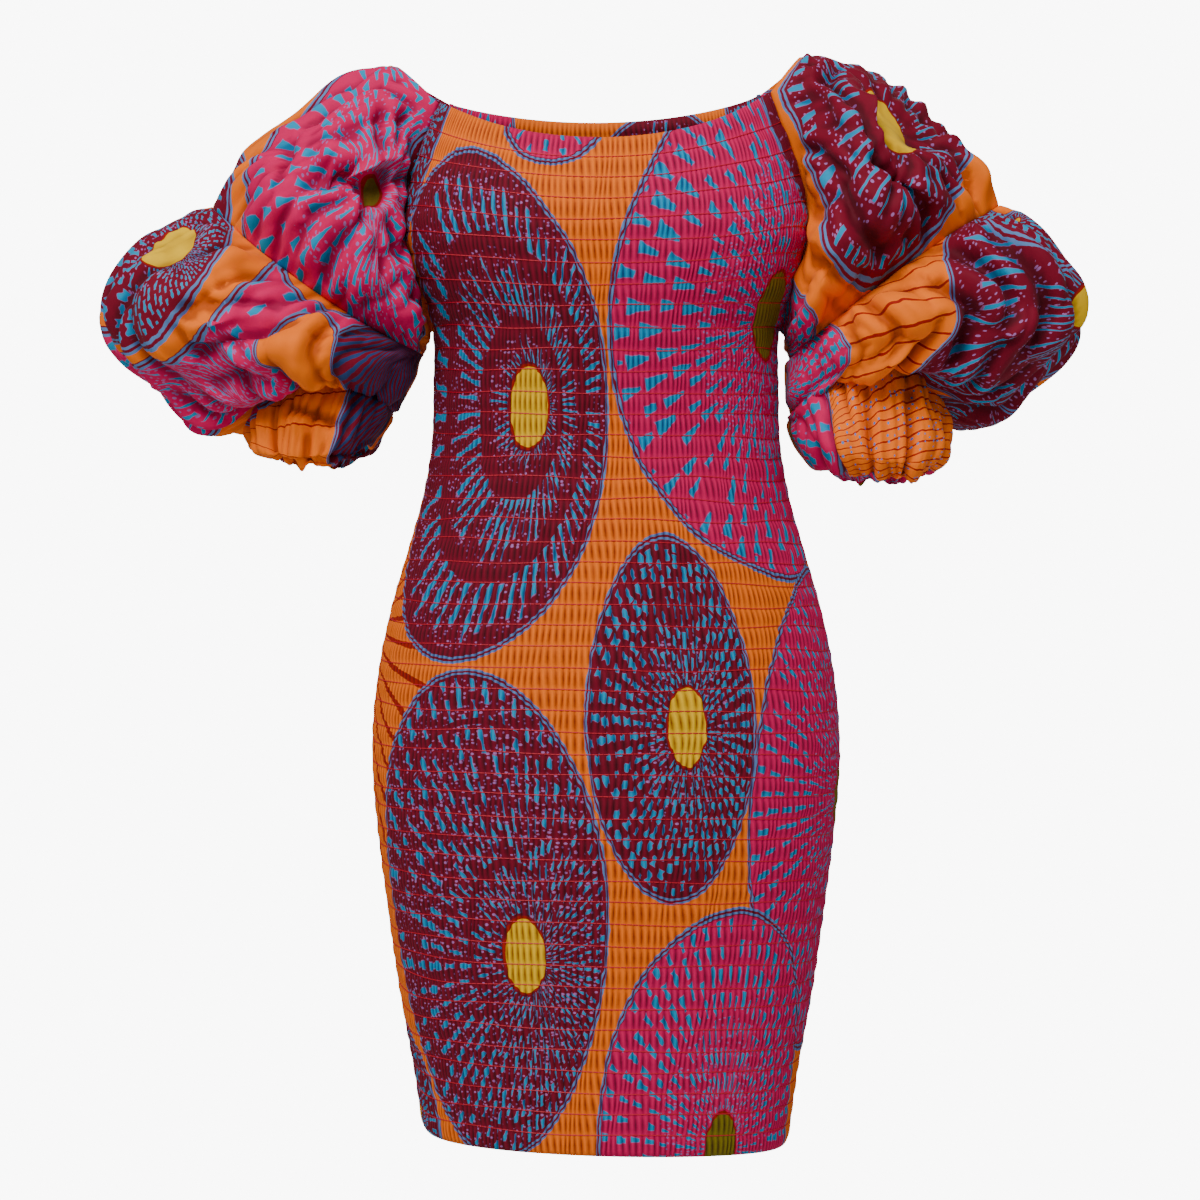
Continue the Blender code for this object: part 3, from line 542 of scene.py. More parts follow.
def armhole_ring(sleeve, turn):
    """A sleeve's first ring, x outward: the armhole seam, and over the shoulder the neck edge."""
    points = np.zeros((len(turn), 3))
    for i, angle in enumerate(turn):
        side = -1 if angle < math.pi else 1
        share = angle / math.pi if side < 0 else 2 - angle / math.pi
        corner_z = float(neck_z(side, np.array(float(HANDS[sleeve]))))
        if share < CORNER_SHARE:
            swing = share / CORNER_SHARE * math.pi / 2
            corner = seam_point(side, corner_z) + (0, side * SLEEVE_WALL, 0)
            top = (SHOULDER[sleeve][0], 0, SHOULDER[sleeve][1])
            x = top[0] + (corner[0] - top[0]) * (1 - math.cos(swing))
            z = top[2] + (corner[2] - top[2]) * (1 - math.cos(swing))
            points[i] = (x, corner[1] * math.sin(swing), z)
        else:
            down = (share - CORNER_SHARE) / (1 - CORNER_SHARE)
            swing = down**UNDERARM_CURVE * math.pi / 2
            lap = SLEEVE_WALL * np.array([0, side * math.cos(swing), -math.sin(swing)])
            points[i] = seam_point(side, corner_z + (UNDERARM_Z - corner_z) * down) + lap
    return points


def ring_points(row, turn):
    """One ring of a sleeve from its row, x outward."""
    _, outer_x, outer_z, inner_x, inner_z, mid_out, front, back, front_droop, back_droop = row
    along = np.sign(np.cos(turn)) * np.abs(np.cos(turn)) ** RING_FULLNESS
    deep = np.abs(np.sin(turn)) ** RING_FULLNESS
    in_front = turn < math.pi
    x = (outer_x + inner_x) / 2 + (outer_x - inner_x) / 2 * along + mid_out * deep**2
    z = (outer_z + inner_z) / 2 + (outer_z - inner_z) / 2 * along
    z = z - np.where(in_front, front_droop, back_droop) * deep**2
    y = np.where(in_front, -front, back) * deep
    return np.stack([x, y, z], axis=-1)


def gather_wave(turn, ring):
    """Uneven waves round a gathered line, from -1 to 1."""
    uneven = turn + sum(size * np.sin(waves * turn + shift * ring) for waves, shift, size in GATHER_SWAY)
    slack = INNER_SLACK + (1 - INNER_SLACK) * ((1 + np.cos(turn)) / 2) ** SLACK_POWER
    return slack * np.cos(GATHERS * uneven + GATHER_SHIFT * ring)


def ring_normals(points):
    """Outward normals of a sleeve's rings; the grid is closed round its second axis."""
    down = np.gradient(points, axis=0)
    round_it = np.roll(points, -1, axis=1) - np.roll(points, 1, axis=1)
    normal = np.cross(round_it, down)
    return normal / np.maximum(np.linalg.norm(normal, axis=-1, keepdims=True), 1e-12)


def sheet_normals(points, side):
    """Outward normals of a body panel's grid."""
    normal = np.cross(np.gradient(points, axis=1), np.gradient(points, axis=0)) * side
    return normal / np.maximum(np.linalg.norm(normal, axis=-1, keepdims=True), 1e-12)


def fold_depth(points, outward, sleeve, puff):
    """How far the puff's largest folds move each point along its normal."""
    moved = np.zeros(points.shape[:-1])
    for place, side, x0, z0, x1, z1, width, depth in FOLDS[sleeve]:
        if place != puff:
            continue
        run = np.array([x1 - x0, z1 - z0])
        flat = points[..., [0, 2]] - (x0, z0)
        share = np.clip((flat @ run) / (run @ run), 0, 1)
        away = np.linalg.norm(flat - share[..., None] * run, axis=-1)
        facing = np.clip(outward[..., 1] * (-1 if side == "front" else 1), 0, 1)
        moved += depth * np.exp(-((away / width) ** 2)) * facing
    return moved


def puff_form(sleeve, puff, turn, down):
    """The solid's form of one puff, x outward, at the turns round it and the shares down it."""
    first, last, first_depth, last_depth, lobe_depth, lobes = PUFFS[puff]
    rows = SLEEVES[sleeve]
    names = [row[0] for row in rows]
    start = 0 if first == "R0" else names.index(first)
    keys = [ring_points(row, turn) for row in rows[start : names.index(last) + 1]]
    if first == "R0":
        keys = [armhole_ring(sleeve, turn)] + keys
    keys = np.array(keys)
    spacing = np.linalg.norm(np.diff(keys, axis=0), axis=-1).mean(axis=1)
    knots = np.concatenate([[0], np.cumsum(spacing)]) / spacing.sum()
    points = smooth_curve(knots, keys, down)
    ring = int(first[1])
    ease = down * down * (3 - 2 * down)
    at_first = np.where(down < 0.5, (1 - 2 * ease) ** 2, 0)[:, None]
    at_last = np.where(down > 0.5, (2 * ease - 1) ** 2, 0)[:, None]
    if first == "R0":
        at_first = at_first * np.minimum(down * EASE_STEPS[puff], 1)[:, None]
    wave = first_depth * at_first * gather_wave(turn, ring)
    wave = wave + last_depth * at_last * gather_wave(turn, ring + 1)
    from_middle = points - points.mean(axis=1, keepdims=True)
    radius = np.linalg.norm(from_middle, axis=-1, keepdims=True)
    points = points + from_middle / radius * wave[..., None]
    length = np.linalg.norm(np.diff(points, axis=0), axis=-1).sum(axis=0)
    middle = np.sin(down * math.pi)[:, None] ** 2
    lobe = lobe_depth * length / length.max() * np.cos(lobes * turn + ring + LOBE_SWAY * np.sin(2 * turn))
    outward = ring_normals(points)
    moved = middle * lobe + middle**0.5 * fold_depth(points, outward, sleeve, puff)
    return points + outward * moved[..., None]


# ================================================================ creases and pleats

def segment_distance(u, v, u0, v0, u1, v1):
    """Distance on the flat cloth from each point to a line, the share along it, and the side it lies on."""
    run_u, run_v = u1 - u0, v1 - v0
    share = np.clip(((u - u0) * run_u + (v - v0) * run_v) / (run_u**2 + run_v**2), 0, 1)
    side = np.sign(run_u * (v - v0) - run_v * (u - u0))
    return np.hypot(u - u0 - share * run_u, v - v0 - share * run_v), share, side


def crease_profile(away, side, width):
    """A trough with a soft ridge on each side, the fuller one lying over it; 1 at its bottom."""
    ridge = np.exp(-(((away - 2.3 * width) / (1.35 * width)) ** 2))
    return np.exp(-((away / width) ** 1.6)) - (0.40 + 0.26 * side) * ridge


def ring_pleats(turn, from_line, sleeve, ring, puff):
    """Pleats that run in from one gathered line, the same on the line itself for both its puffs."""
    rng = np.random.default_rng(60 + 10 * ring + list(HANDS).index(sleeve))
    runs = np.random.default_rng(200 + 10 * ring + 3 * list(PUFFS).index(puff) + list(HANDS).index(sleeve))
    count, deepest, narrow, wide = RING_PLEATS[ring]
    moved = np.zeros((len(from_line), len(turn)))
    start = PLEAT_GATHERED + (1 - PLEAT_GATHERED) * np.clip(from_line / PLEATS_SET_IN, 0, 1)
    for k in range(count):
        place = (k + rng.uniform(-0.4, 0.4)) / count * 2 * math.pi
        width = rng.uniform(narrow, wide)
        depth = deepest * rng.uniform(0.3, 1.0)
        reach = runs.uniform(*PLEAT_REACH)
        line = place + runs.uniform(-0.35, 0.35) * from_line
        away = np.abs((turn[None, :] - line[:, None] + math.pi) % (2 * math.pi) - math.pi)
        grow = (1 + 1.3 * from_line / reach)[:, None]
        fade = (start * np.clip(1 - from_line / reach, 0, 1) ** 1.2)[:, None]
        spread = away / (width * grow)
        moved -= depth * fade * (np.exp(-(spread**2)) - 0.5 * np.exp(-((spread / 2) ** 2))) / grow**0.4
    return moved


def lumps(turn, down, seed, round_it, along):
    """Soft pillows between sharp creases: 0 on a crease, about 1 on a pillow."""
    rng = np.random.default_rng(seed)
    total = np.zeros((len(down), len(turn)))
    for _ in range(LUMP_WAVES):
        waves = int(rng.integers(max(1, round_it - 3), round_it + 4))
        rise = rng.uniform(-along, along) * 2 * math.pi
        phase = rng.uniform(0, 2 * math.pi)
        bend = 0.10 * np.sin(3 * turn[None, :] + 5 * down[:, None] + phase)
        total += np.sin(waves * (turn[None, :] + bend) + rise * down[:, None] + phase)
    return np.abs(total) / LUMP_WAVES**0.5


def dressed_puff(sleeve, puff):
    """Outer and inner grids of one puff's cloth, its painted crease shade, and the shares down it."""
    turn = np.arange(SLEEVE_COLUMNS) * 2 * math.pi / SLEEVE_COLUMNS
    down = np.linspace(0, 1, SLEEVE_ROWS[puff] + 1) * (1 - 2 * END_SHIFT) + END_SHIFT
    order = list(PUFFS).index(puff)
    seed = 11 + 7 * order + 101 * list(HANDS).index(sleeve)
    form = puff_form(sleeve, puff, turn, down)
    lengths = np.linalg.norm(np.diff(form, axis=0), axis=-1).sum(axis=0)
    girth = np.linalg.norm(np.roll(form, -1, axis=1) - form, axis=-1).sum(axis=1).mean()
    radius = girth / (2 * math.pi)
    signed = (turn + math.pi) % (2 * math.pi) - math.pi
    u = signed[None, :] * radius + 0 * down[:, None]
    v = down[:, None] * lengths[None, :]

    def flat(at_turn, at_down):
        return at_turn * radius, at_down * np.interp(at_turn % (2 * math.pi), turn, lengths)

    pillows, tucks, pillow_height, folds, fold_height = LUMPS[puff]
    free = pillow_height * (lumps(turn, down, seed, pillows, tucks) - LUMP_LEVEL)
    free += fold_height * (lumps(turn, down, seed + 1, folds, 1.5 * tucks) - LUMP_LEVEL)
    for turn0, down0, turn1, down1, width, depth in CREASES[sleeve, puff]:
        away, share, side = segment_distance(u, v, *flat(turn0, down0), *flat(turn1, down1))
        taper = 0.40 + 0.60 * np.sin(np.clip(share, 0.02, 0.98) * math.pi) ** 0.6
        free += depth * taper * crease_profile(away, side, width)
    calm = np.ones_like(free)
    for at_turn, at_down, hollow, depth, ring, rise, rays, longer in DIMPLES.get((sleeve, puff), ()):
        u0, v0 = flat(at_turn, at_down)
        away = np.hypot((u - u0) / longer, v - v0)
        angle = np.arctan2(v - v0, (u - u0) / longer)
        free *= 1 - DIMPLE_FOLDS[0] * np.exp(-((away / (DIMPLE_FOLDS[1] * hollow)) ** 4))
        calm *= 1 - DIMPLE_PLEATS[0] * np.exp(-((away / (DIMPLE_PLEATS[1] * hollow)) ** 4))
        around = np.cos(rays * angle + 1.3 * np.sin(2 * angle))
        free -= depth * np.exp(-((away / hollow) ** 4))
        raised = np.exp(-(((away - ring) / (DIMPLE_RING[0] * ring)) ** 2))
        free += rise * raised * (1 + DIMPLE_RING[1] * around)
    edge = np.minimum(down, 1 - down)[:, None]
    slack = np.clip(1.6 * lengths / lengths.max(), 0.25, 1)
    moved = free * np.clip(edge / CREASES_FROM_LINE, 0, 1) ** 0.8
    pleats = ring_pleats(turn, down, sleeve, order, puff)
    pleats = pleats + ring_pleats(turn, 1 - down, sleeve, order + 1, puff)
    if puff == "lower":
        between_lines, calming = LOWER_PLEATS
        pleats *= between_lines + (1 - between_lines) * np.exp(-edge / calming)
    moved = (moved + pleats * calm) * slack
    for at_turn, at_down, round_it, along, depth in EASED.get((sleeve, puff), ()):
        v0 = flat(at_turn, at_down)[1]
        aside = ((turn - at_turn + math.pi) % (2 * math.pi) - math.pi) * radius
        moved -= depth * np.exp(-((aside[None, :] / round_it) ** 2) - ((v - v0) / along) ** 2)
    if puff == "upper":
        moved *= (np.clip(down / 0.12, 0, 1) ** 1.5)[:, None]
    outward = ring_normals(form)
    radial = form - form.mean(axis=1, keepdims=True)
    radial /= np.linalg.norm(radial, axis=-1, keepdims=True)
    turned = np.clip(1 - edge / SQUARED_END, 0, 1)[..., None]
    way = outward * (1 - turned) + radial * turned
    way /= np.linalg.norm(way, axis=-1, keepdims=True)
    outer = form + way * moved[..., None]
    hemmed = np.clip(1 - down / 0.04, 0, 1) if puff == "upper" else 0 * down
    thick = CLOTH_THICK + (SLEEVE_WALL - CLOTH_THICK) * hemmed
    inner = form + way * (np.minimum(moved, INSIDE_LIMIT) - thick[:, None])[..., None]
    if puff == "upper":
        tucked = ARMHOLE_TUCK * np.clip(1 - down / 0.03, 0, 1)[:, None]
        outer[..., 0] -= tucked
        inner[..., 0] -= tucked
    if puff != "lower":
        # the end runs on a little inside the next puff
        tail = outer[-1] - outer[-3]
        tail *= END_OVERLAP / np.linalg.norm(tail, axis=-1, keepdims=True)
        outer[-1] += tail - 0.5 * END_OVERLAP * way[-1]
        inner[-1] += tail - 0.5 * END_OVERLAP * way[-1]
    # painted shade where the cloth lies below its neighbours, darkest in the deepest creases
    near = sum(np.roll(moved, k, axis=1) for k in (-6, -3, 3, 6)) / 4
    wide = sum(np.roll(moved, k, axis=0) for k in (-4, 4)) / 2
    relief = moved - 0.6 * near - 0.4 * np.where(edge > 0.06, wide, near)
    pucker = np.clip(-relief / FULL_SHADE_RELIEF, 0, 1)
    return outer, inner[::2, ::2], pucker, down


# ================================================================ meshes

def grid_faces(rows, columns, closed, first, flat_first, flip):
    """Quads of a grid: their vertices and, in the same order, their places in the flat table."""
    r = np.arange(rows - 1)[:, None]
    c = np.arange(columns if closed else columns - 1)[None, :]
    flat_columns = columns + 1 if closed else columns
    corners = ((r, c), (r, c + 1), (r + 1, c + 1), (r + 1, c))
    if flip:
        corners = corners[::-1]
    points = np.stack([first + i * columns + (j % columns) for i, j in corners], axis=-1)
    flats = np.stack([flat_first + i * flat_columns + j for i, j in corners], axis=-1)
    return points.reshape(-1, 4).tolist(), flats.reshape(-1, 4).tolist()


def rim_faces(outer_line, inner_line, outer_flat, inner_flat, flip):
    """Joins an edge line of the outer grid to the inner one, which has every second of its points."""
    points, flats = [], []
    for k in range(len(inner_line) - 1):
        five = [*outer_line[2 * k : 2 * k + 3], inner_line[k + 1], inner_line[k]]
        flat = [*outer_flat[2 * k : 2 * k + 3], inner_flat[k + 1], inner_flat[k]]
        points.append(five[::-1] if flip else five)
        flats.append(flat[::-1] if flip else flat)
    return points, flats


def wall_mesh(name, outer, inner, outer_flat, inner_flat, pucker, closed, flip):
    """A closed cloth wall from two grids; the flat tables hold each grid point's place on the cut cloth."""
    rows, columns = outer.shape[:2]
    inner_rows, inner_columns = inner.shape[:2]
    first = rows * columns
    flat_first = outer_flat.shape[0] * outer_flat.shape[1]
    points, flats = grid_faces(rows, columns, closed, 0, 0, flip)
    more, more_flat = grid_faces(inner_rows, inner_columns, closed, first, flat_first, not flip)
    points += more
    flats += more_flat

    def line(grid_first, width, count, row=None, column=None):
        if row is not None:
            return [grid_first + row * width + (k % width) for k in range(count)]
        return [grid_first + k * width + column for k in range(count)]

    wrap = 1 if closed else 0
    flat_width, inner_flat_width = outer_flat.shape[1], inner_flat.shape[1]
    for row, inner_row, turned in ((0, 0, not flip), (rows - 1, inner_rows - 1, flip)):
        more, more_flat = rim_faces(
            line(0, columns, columns + wrap, row=row),
            line(first, inner_columns, inner_columns + wrap, row=inner_row),
            line(0, flat_width, flat_width, row=row),
            line(flat_first, inner_flat_width, inner_flat_width, row=inner_row),
            turned,
        )
        points += more
        flats += more_flat
    if not closed:
        for column, inner_column, turned in ((0, 0, flip), (columns - 1, inner_columns - 1, not flip)):
            more, more_flat = rim_faces(
                line(0, columns, rows, column=column),
                line(first, inner_columns, inner_rows, column=inner_column),
                line(0, columns, rows, column=column),
                line(flat_first, inner_columns, inner_rows, column=inner_column),
                turned,
            )
            points += more
            flats += more_flat
    mesh = bpy.data.meshes.new(name)
    vertices = np.concatenate([outer.reshape(-1, 3), inner.reshape(-1, 3)])
    mesh.from_pydata(vertices.tolist(), [], points)
    table = np.concatenate([outer_flat.reshape(-1, 2), inner_flat.reshape(-1, 2)])
    layer = mesh.uv_layers.new(name="cloth")
    layer.data.foreach_set("uv", table[np.concatenate([np.array(f) for f in flats])].ravel())
    # the painted crease shade goes on each point for the print's shader
    values = np.concatenate([pucker.ravel(), pucker[::2, ::2].ravel()])
    attribute = mesh.attributes.new("pucker", "FLOAT", "POINT")
    attribute.data.foreach_set("value", values)
    mesh.shade_smooth()
    mesh.update()
    return mesh


def place(name, mesh, material, slot):
    """Links a finished piece with its material and attaches it to the root; the slot is not used."""
    mesh.materials.append(material)
    piece = bpy.data.objects.new(name, mesh)
    bpy.context.scene.collection.objects.link(piece)
    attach(piece, "root")
    return piece


def by_phase(phase, shoulder):
    """1 in each crease, 0 on each crest and the shoulder's value between them, for every column."""
    return np.where(phase == 0, 1.0, np.where(phase == 2, 0.0, shoulder))[None, :]


def body_grids(side, ribs, rows, rib_depth):
    """Outer and inner grids of a shirred panel, its painted crease shade, and its points along the elastic rows.
    """
    rng = np.random.default_rng(5 if side < 0 else 6)
    columns = ribs * RIB_POINTS
    lines = rows * ROW_POINTS
    line = np.arange(lines + 1)
    column = np.arange(columns + 1)
    down = line[:, None] / lines + 0 * column[None, :]
    across = 2 * column[None, :] / columns - 1 + 0 * line[:, None]
    # slow sideways wander of the ribs, none at the side seams
    sway = np.zeros_like(down)
    for _ in range(SWAYS):
        f, g, phase = rng.uniform(4, 34), rng.uniform(2, 22), rng.uniform(0, 2 * math.pi)
        sway += np.sin(f * across * math.pi / 2 + g * down * math.pi + phase)
    hold = np.clip((1 - np.abs(across)) / SIDE_HOLD, 0, 1)
    across = across + hold * sway / SWAYS**0.5 * RIB_UNEVEN * 2 / ribs
    level = neck_z(side, 0 * across)
    z = level * (1 - down) + hem_z(across) * down
    z = z + (neck_z(side, across) - level) * (1 - down) ** ROW_LEVELLING
    drift = np.zeros_like(down)
    for _ in range(DRIFTS):
        f, g, phase = rng.uniform(1, 9), rng.uniform(3, 40), rng.uniform(0, 2 * math.pi)
        drift += np.sin(f * across * math.pi / 2 + g * down * math.pi + phase)
    z = z + drift / DRIFTS**0.5 * ROW_WANDER * np.sin(np.clip(down, 0, 1) * math.pi) ** 0.3
    base = panel_point(side, across, z)
    outward = sheet_normals(base, side)
    puffed = np.sin((line % ROW_POINTS) / ROW_POINTS * math.pi)[:, None] ** 0.8
    phase = column % RIB_POINTS
    rib = column // RIB_POINTS
    gap = np.minimum(line // ROW_POINTS, rows - 1)
    # each crease has its own depth between two rows, partly the same all down its rib
    own = rng.uniform(0.25, 1.0, (rows, ribs + 1))
    whole = rng.uniform(0.45, 1.0, (1, ribs + 1))
    depth = rib_depth * (0.50 * own + 0.50 * whole)
    depth = depth[gap][:, rib]
    swell = rng.uniform(0.75, 1.1, (rows, ribs + 1))[gap][:, rib]
    lift = ROW_BASE + SHIRR_RISE * puffed * swell
    seam = np.clip((1 - np.abs(across)) / SIDE_FLATTEN, 0, 1)
    opened = ROW_FLATTEN + (1 - ROW_FLATTEN) * puffed
    sink = depth * by_phase(phase, CREASE_SHOULDER) * opened
    outer = base + outward * (SHIRR_RISE + (lift - sink - SHIRR_RISE) * seam)[..., None]
    # painted shade: darkest in each crease, less on its shoulders, little on an elastic row
    pucker = by_phase(phase, SHOULDER_SHADE) * np.clip(1.8 * depth / rib_depth, 0.55, 1) * opened
    inside = np.where(phase[::2] == 0, -1.0, 1.0)[None, :] * INSIDE_RIB * puffed[::2]
    inner = base[::2, ::2] - outward[::2, ::2] * (BODY_WALL + inside)[..., None]
    if side > 0:
        # the back's side edges run on a little inside the front's
        for edge in (0, -1):
            tuck = np.zeros((lines + 1, 3))
            tuck[:, 0] = -0.6 * SIDE_OVERLAP * np.sign(outer[:, edge, 0])
            tuck[:, 1] = -SIDE_OVERLAP
            outer[:, edge] += tuck
            inner[:, edge] += tuck[::2]
    hidden = (np.array(RIB_CLOTH)[phase] - phase / RIB_POINTS) * 2 / ribs
    flat = np.stack([(across + hidden) * BODY_CUT[0] / 2, -down * BODY_CUT[1]], axis=-1)
    threads = (base + outward * (ROW_BASE + 0.0002))[::ROW_POINTS]
    return outer, inner, pucker, flat, threads


# ================================================================ node helpers

def link_or_set(tree, socket, value):
    """Feeds a socket from another one, or gives it a value."""
    if isinstance(value, bpy.types.NodeSocket):
        tree.links.new(value, socket)
    else:
        socket.default_value = value


def calc(tree, operation, *values):
    """A Math node's output."""
    node = tree.nodes.new("ShaderNodeMath")
    node.operation = operation
    for socket, value in zip(node.inputs, values):
        link_or_set(tree, socket, value)
    return node.outputs[0]


def vector(tree, operation, *values):
    """A Vector Math node's output: a number for lengths and products, else a vector."""
    node = tree.nodes.new("ShaderNodeVectorMath")
    node.operation = operation
    for socket, value in zip(node.inputs, values):
        link_or_set(tree, socket, value)
    number = operation in {"LENGTH", "DISTANCE", "DOT_PRODUCT"}
    return node.outputs["Value" if number else "Vector"]


def mix(tree, kind, factor, low, high):
    """A Mix node of kind FLOAT, VECTOR or RGBA."""
    node = tree.nodes.new("ShaderNodeMix")
    node.data_type = kind
    place_of = {"FLOAT": (2, 3, 0), "VECTOR": (4, 5, 1), "RGBA": (6, 7, 2)}[kind]
    link_or_set(tree, node.inputs[0], factor)
    link_or_set(tree, node.inputs[place_of[0]], low)
    link_or_set(tree, node.inputs[place_of[1]], high)
    return node.outputs[place_of[2]]


def split(tree, value):
    """The three numbers of a vector."""
    node = tree.nodes.new("ShaderNodeSeparateXYZ")
    tree.links.new(value, node.inputs[0])
    return node.outputs[0], node.outputs[1], node.outputs[2]


def join(tree, x, y, z=0.0):
    """A vector of three numbers."""
    node = tree.nodes.new("ShaderNodeCombineXYZ")
    for socket, value in zip(node.inputs, (x, y, z)):
        link_or_set(tree, socket, value)
    return node.outputs[0]


def between(tree, value, low, high):
    """1 where the value lies between two limits."""
    above = calc(tree, "GREATER_THAN", value, low)
    return calc(tree, "MULTIPLY", above, calc(tree, "LESS_THAN", value, high))


def new_group(name, kind, inputs, outputs):
    """An empty node group with sockets (name, type, default) and its two end nodes."""
    tree = bpy.data.node_groups.new(name, kind)
    for label, socket_type, default in inputs:
        socket = tree.interface.new_socket(label, in_out="INPUT", socket_type=socket_type)
        if default is not None:
            socket.default_value = default
    for label, socket_type in outputs:
        tree.interface.new_socket(label, in_out="OUTPUT", socket_type=socket_type)
    return tree, tree.nodes.new("NodeGroupInput"), tree.nodes.new("NodeGroupOutput")


# ================================================================ print

STATE = ("Polar", "Form", "Tone", "Look", "Bands")   # what a print carries from one oval to the next


def place_oval_group():
    """Lays one oval over the print so far: polar coordinates about its hub and its own pattern numbers."""
    inputs = [(label, "NodeSocketVector", None) for label in ("Cloth",) + STATE]
    inputs += [(label, "NodeSocketVector", None) for label in ("Centre", "Half size", "Hub")]
    inputs += [(f"Own {label.lower()}", "NodeSocketVector", None) for label in STATE[1:]]
    tree, enter, leave = new_group(
        "Place oval", "ShaderNodeTree", inputs, [(label, "NodeSocketVector") for label in STATE]
    )
    get = enter.outputs
    point = vector(tree, "DIVIDE", vector(tree, "SUBTRACT", get["Cloth"], get["Centre"]), get["Half size"])
    away = vector(tree, "SUBTRACT", point, get["Hub"])
    squared = calc(tree, "MAXIMUM", vector(tree, "DOT_PRODUCT", away, away), 1e-6)
    lean = vector(tree, "DOT_PRODUCT", get["Hub"], away)
    room = calc(tree, "SUBTRACT", 1.0, vector(tree, "DOT_PRODUCT", get["Hub"], get["Hub"]))
    under = calc(tree, "ADD", calc(tree, "MULTIPLY", lean, lean), calc(tree, "MULTIPLY", squared, room))
    reach = calc(tree, "SUBTRACT", calc(tree, "SQRT", under), lean)
    rho = calc(tree, "DIVIDE", squared, reach)
    x, y = split(tree, away)[:2]
    angle = calc(tree, "ADD", calc(tree, "DIVIDE", calc(tree, "ARCTAN2", y, x), 2 * math.pi), 0.5)
    half_v = split(tree, get["Half size"])[1]
    edge = calc(tree, "MULTIPLY", calc(tree, "SUBTRACT", 1.0, vector(tree, "LENGTH", point)), half_v)
    inside = calc(tree, "GREATER_THAN", edge, 0.0)
    polar = mix(tree, "VECTOR", inside, get["Polar"], join(tree, angle, rho, edge))
    tree.links.new(polar, leave.inputs["Polar"])
    for label in STATE[1:]:
        chosen = mix(tree, "VECTOR", inside, get[label], get[f"Own {label.lower()}"])
        tree.links.new(chosen, leave.inputs[label])
    return tree


def product(tree, first, *others):
    """The product of several numbers or masks."""
    for other in others:
        first = calc(tree, "MULTIPLY", first, other)
    return first


def scaled(tree, value, low, size):
    """low + size * value"""
    return calc(tree, "MULTIPLY_ADD", value, size, low)


def cell_noise(tree, x, y, z):
    """Three numbers from 0 to 1 that are the same all over one cell."""
    noise = tree.nodes.new("ShaderNodeTexWhiteNoise")
    noise.noise_dimensions = "3D"
    tree.links.new(join(tree, x, y, z), noise.inputs["Vector"])
    return split(tree, noise.outputs["Color"])


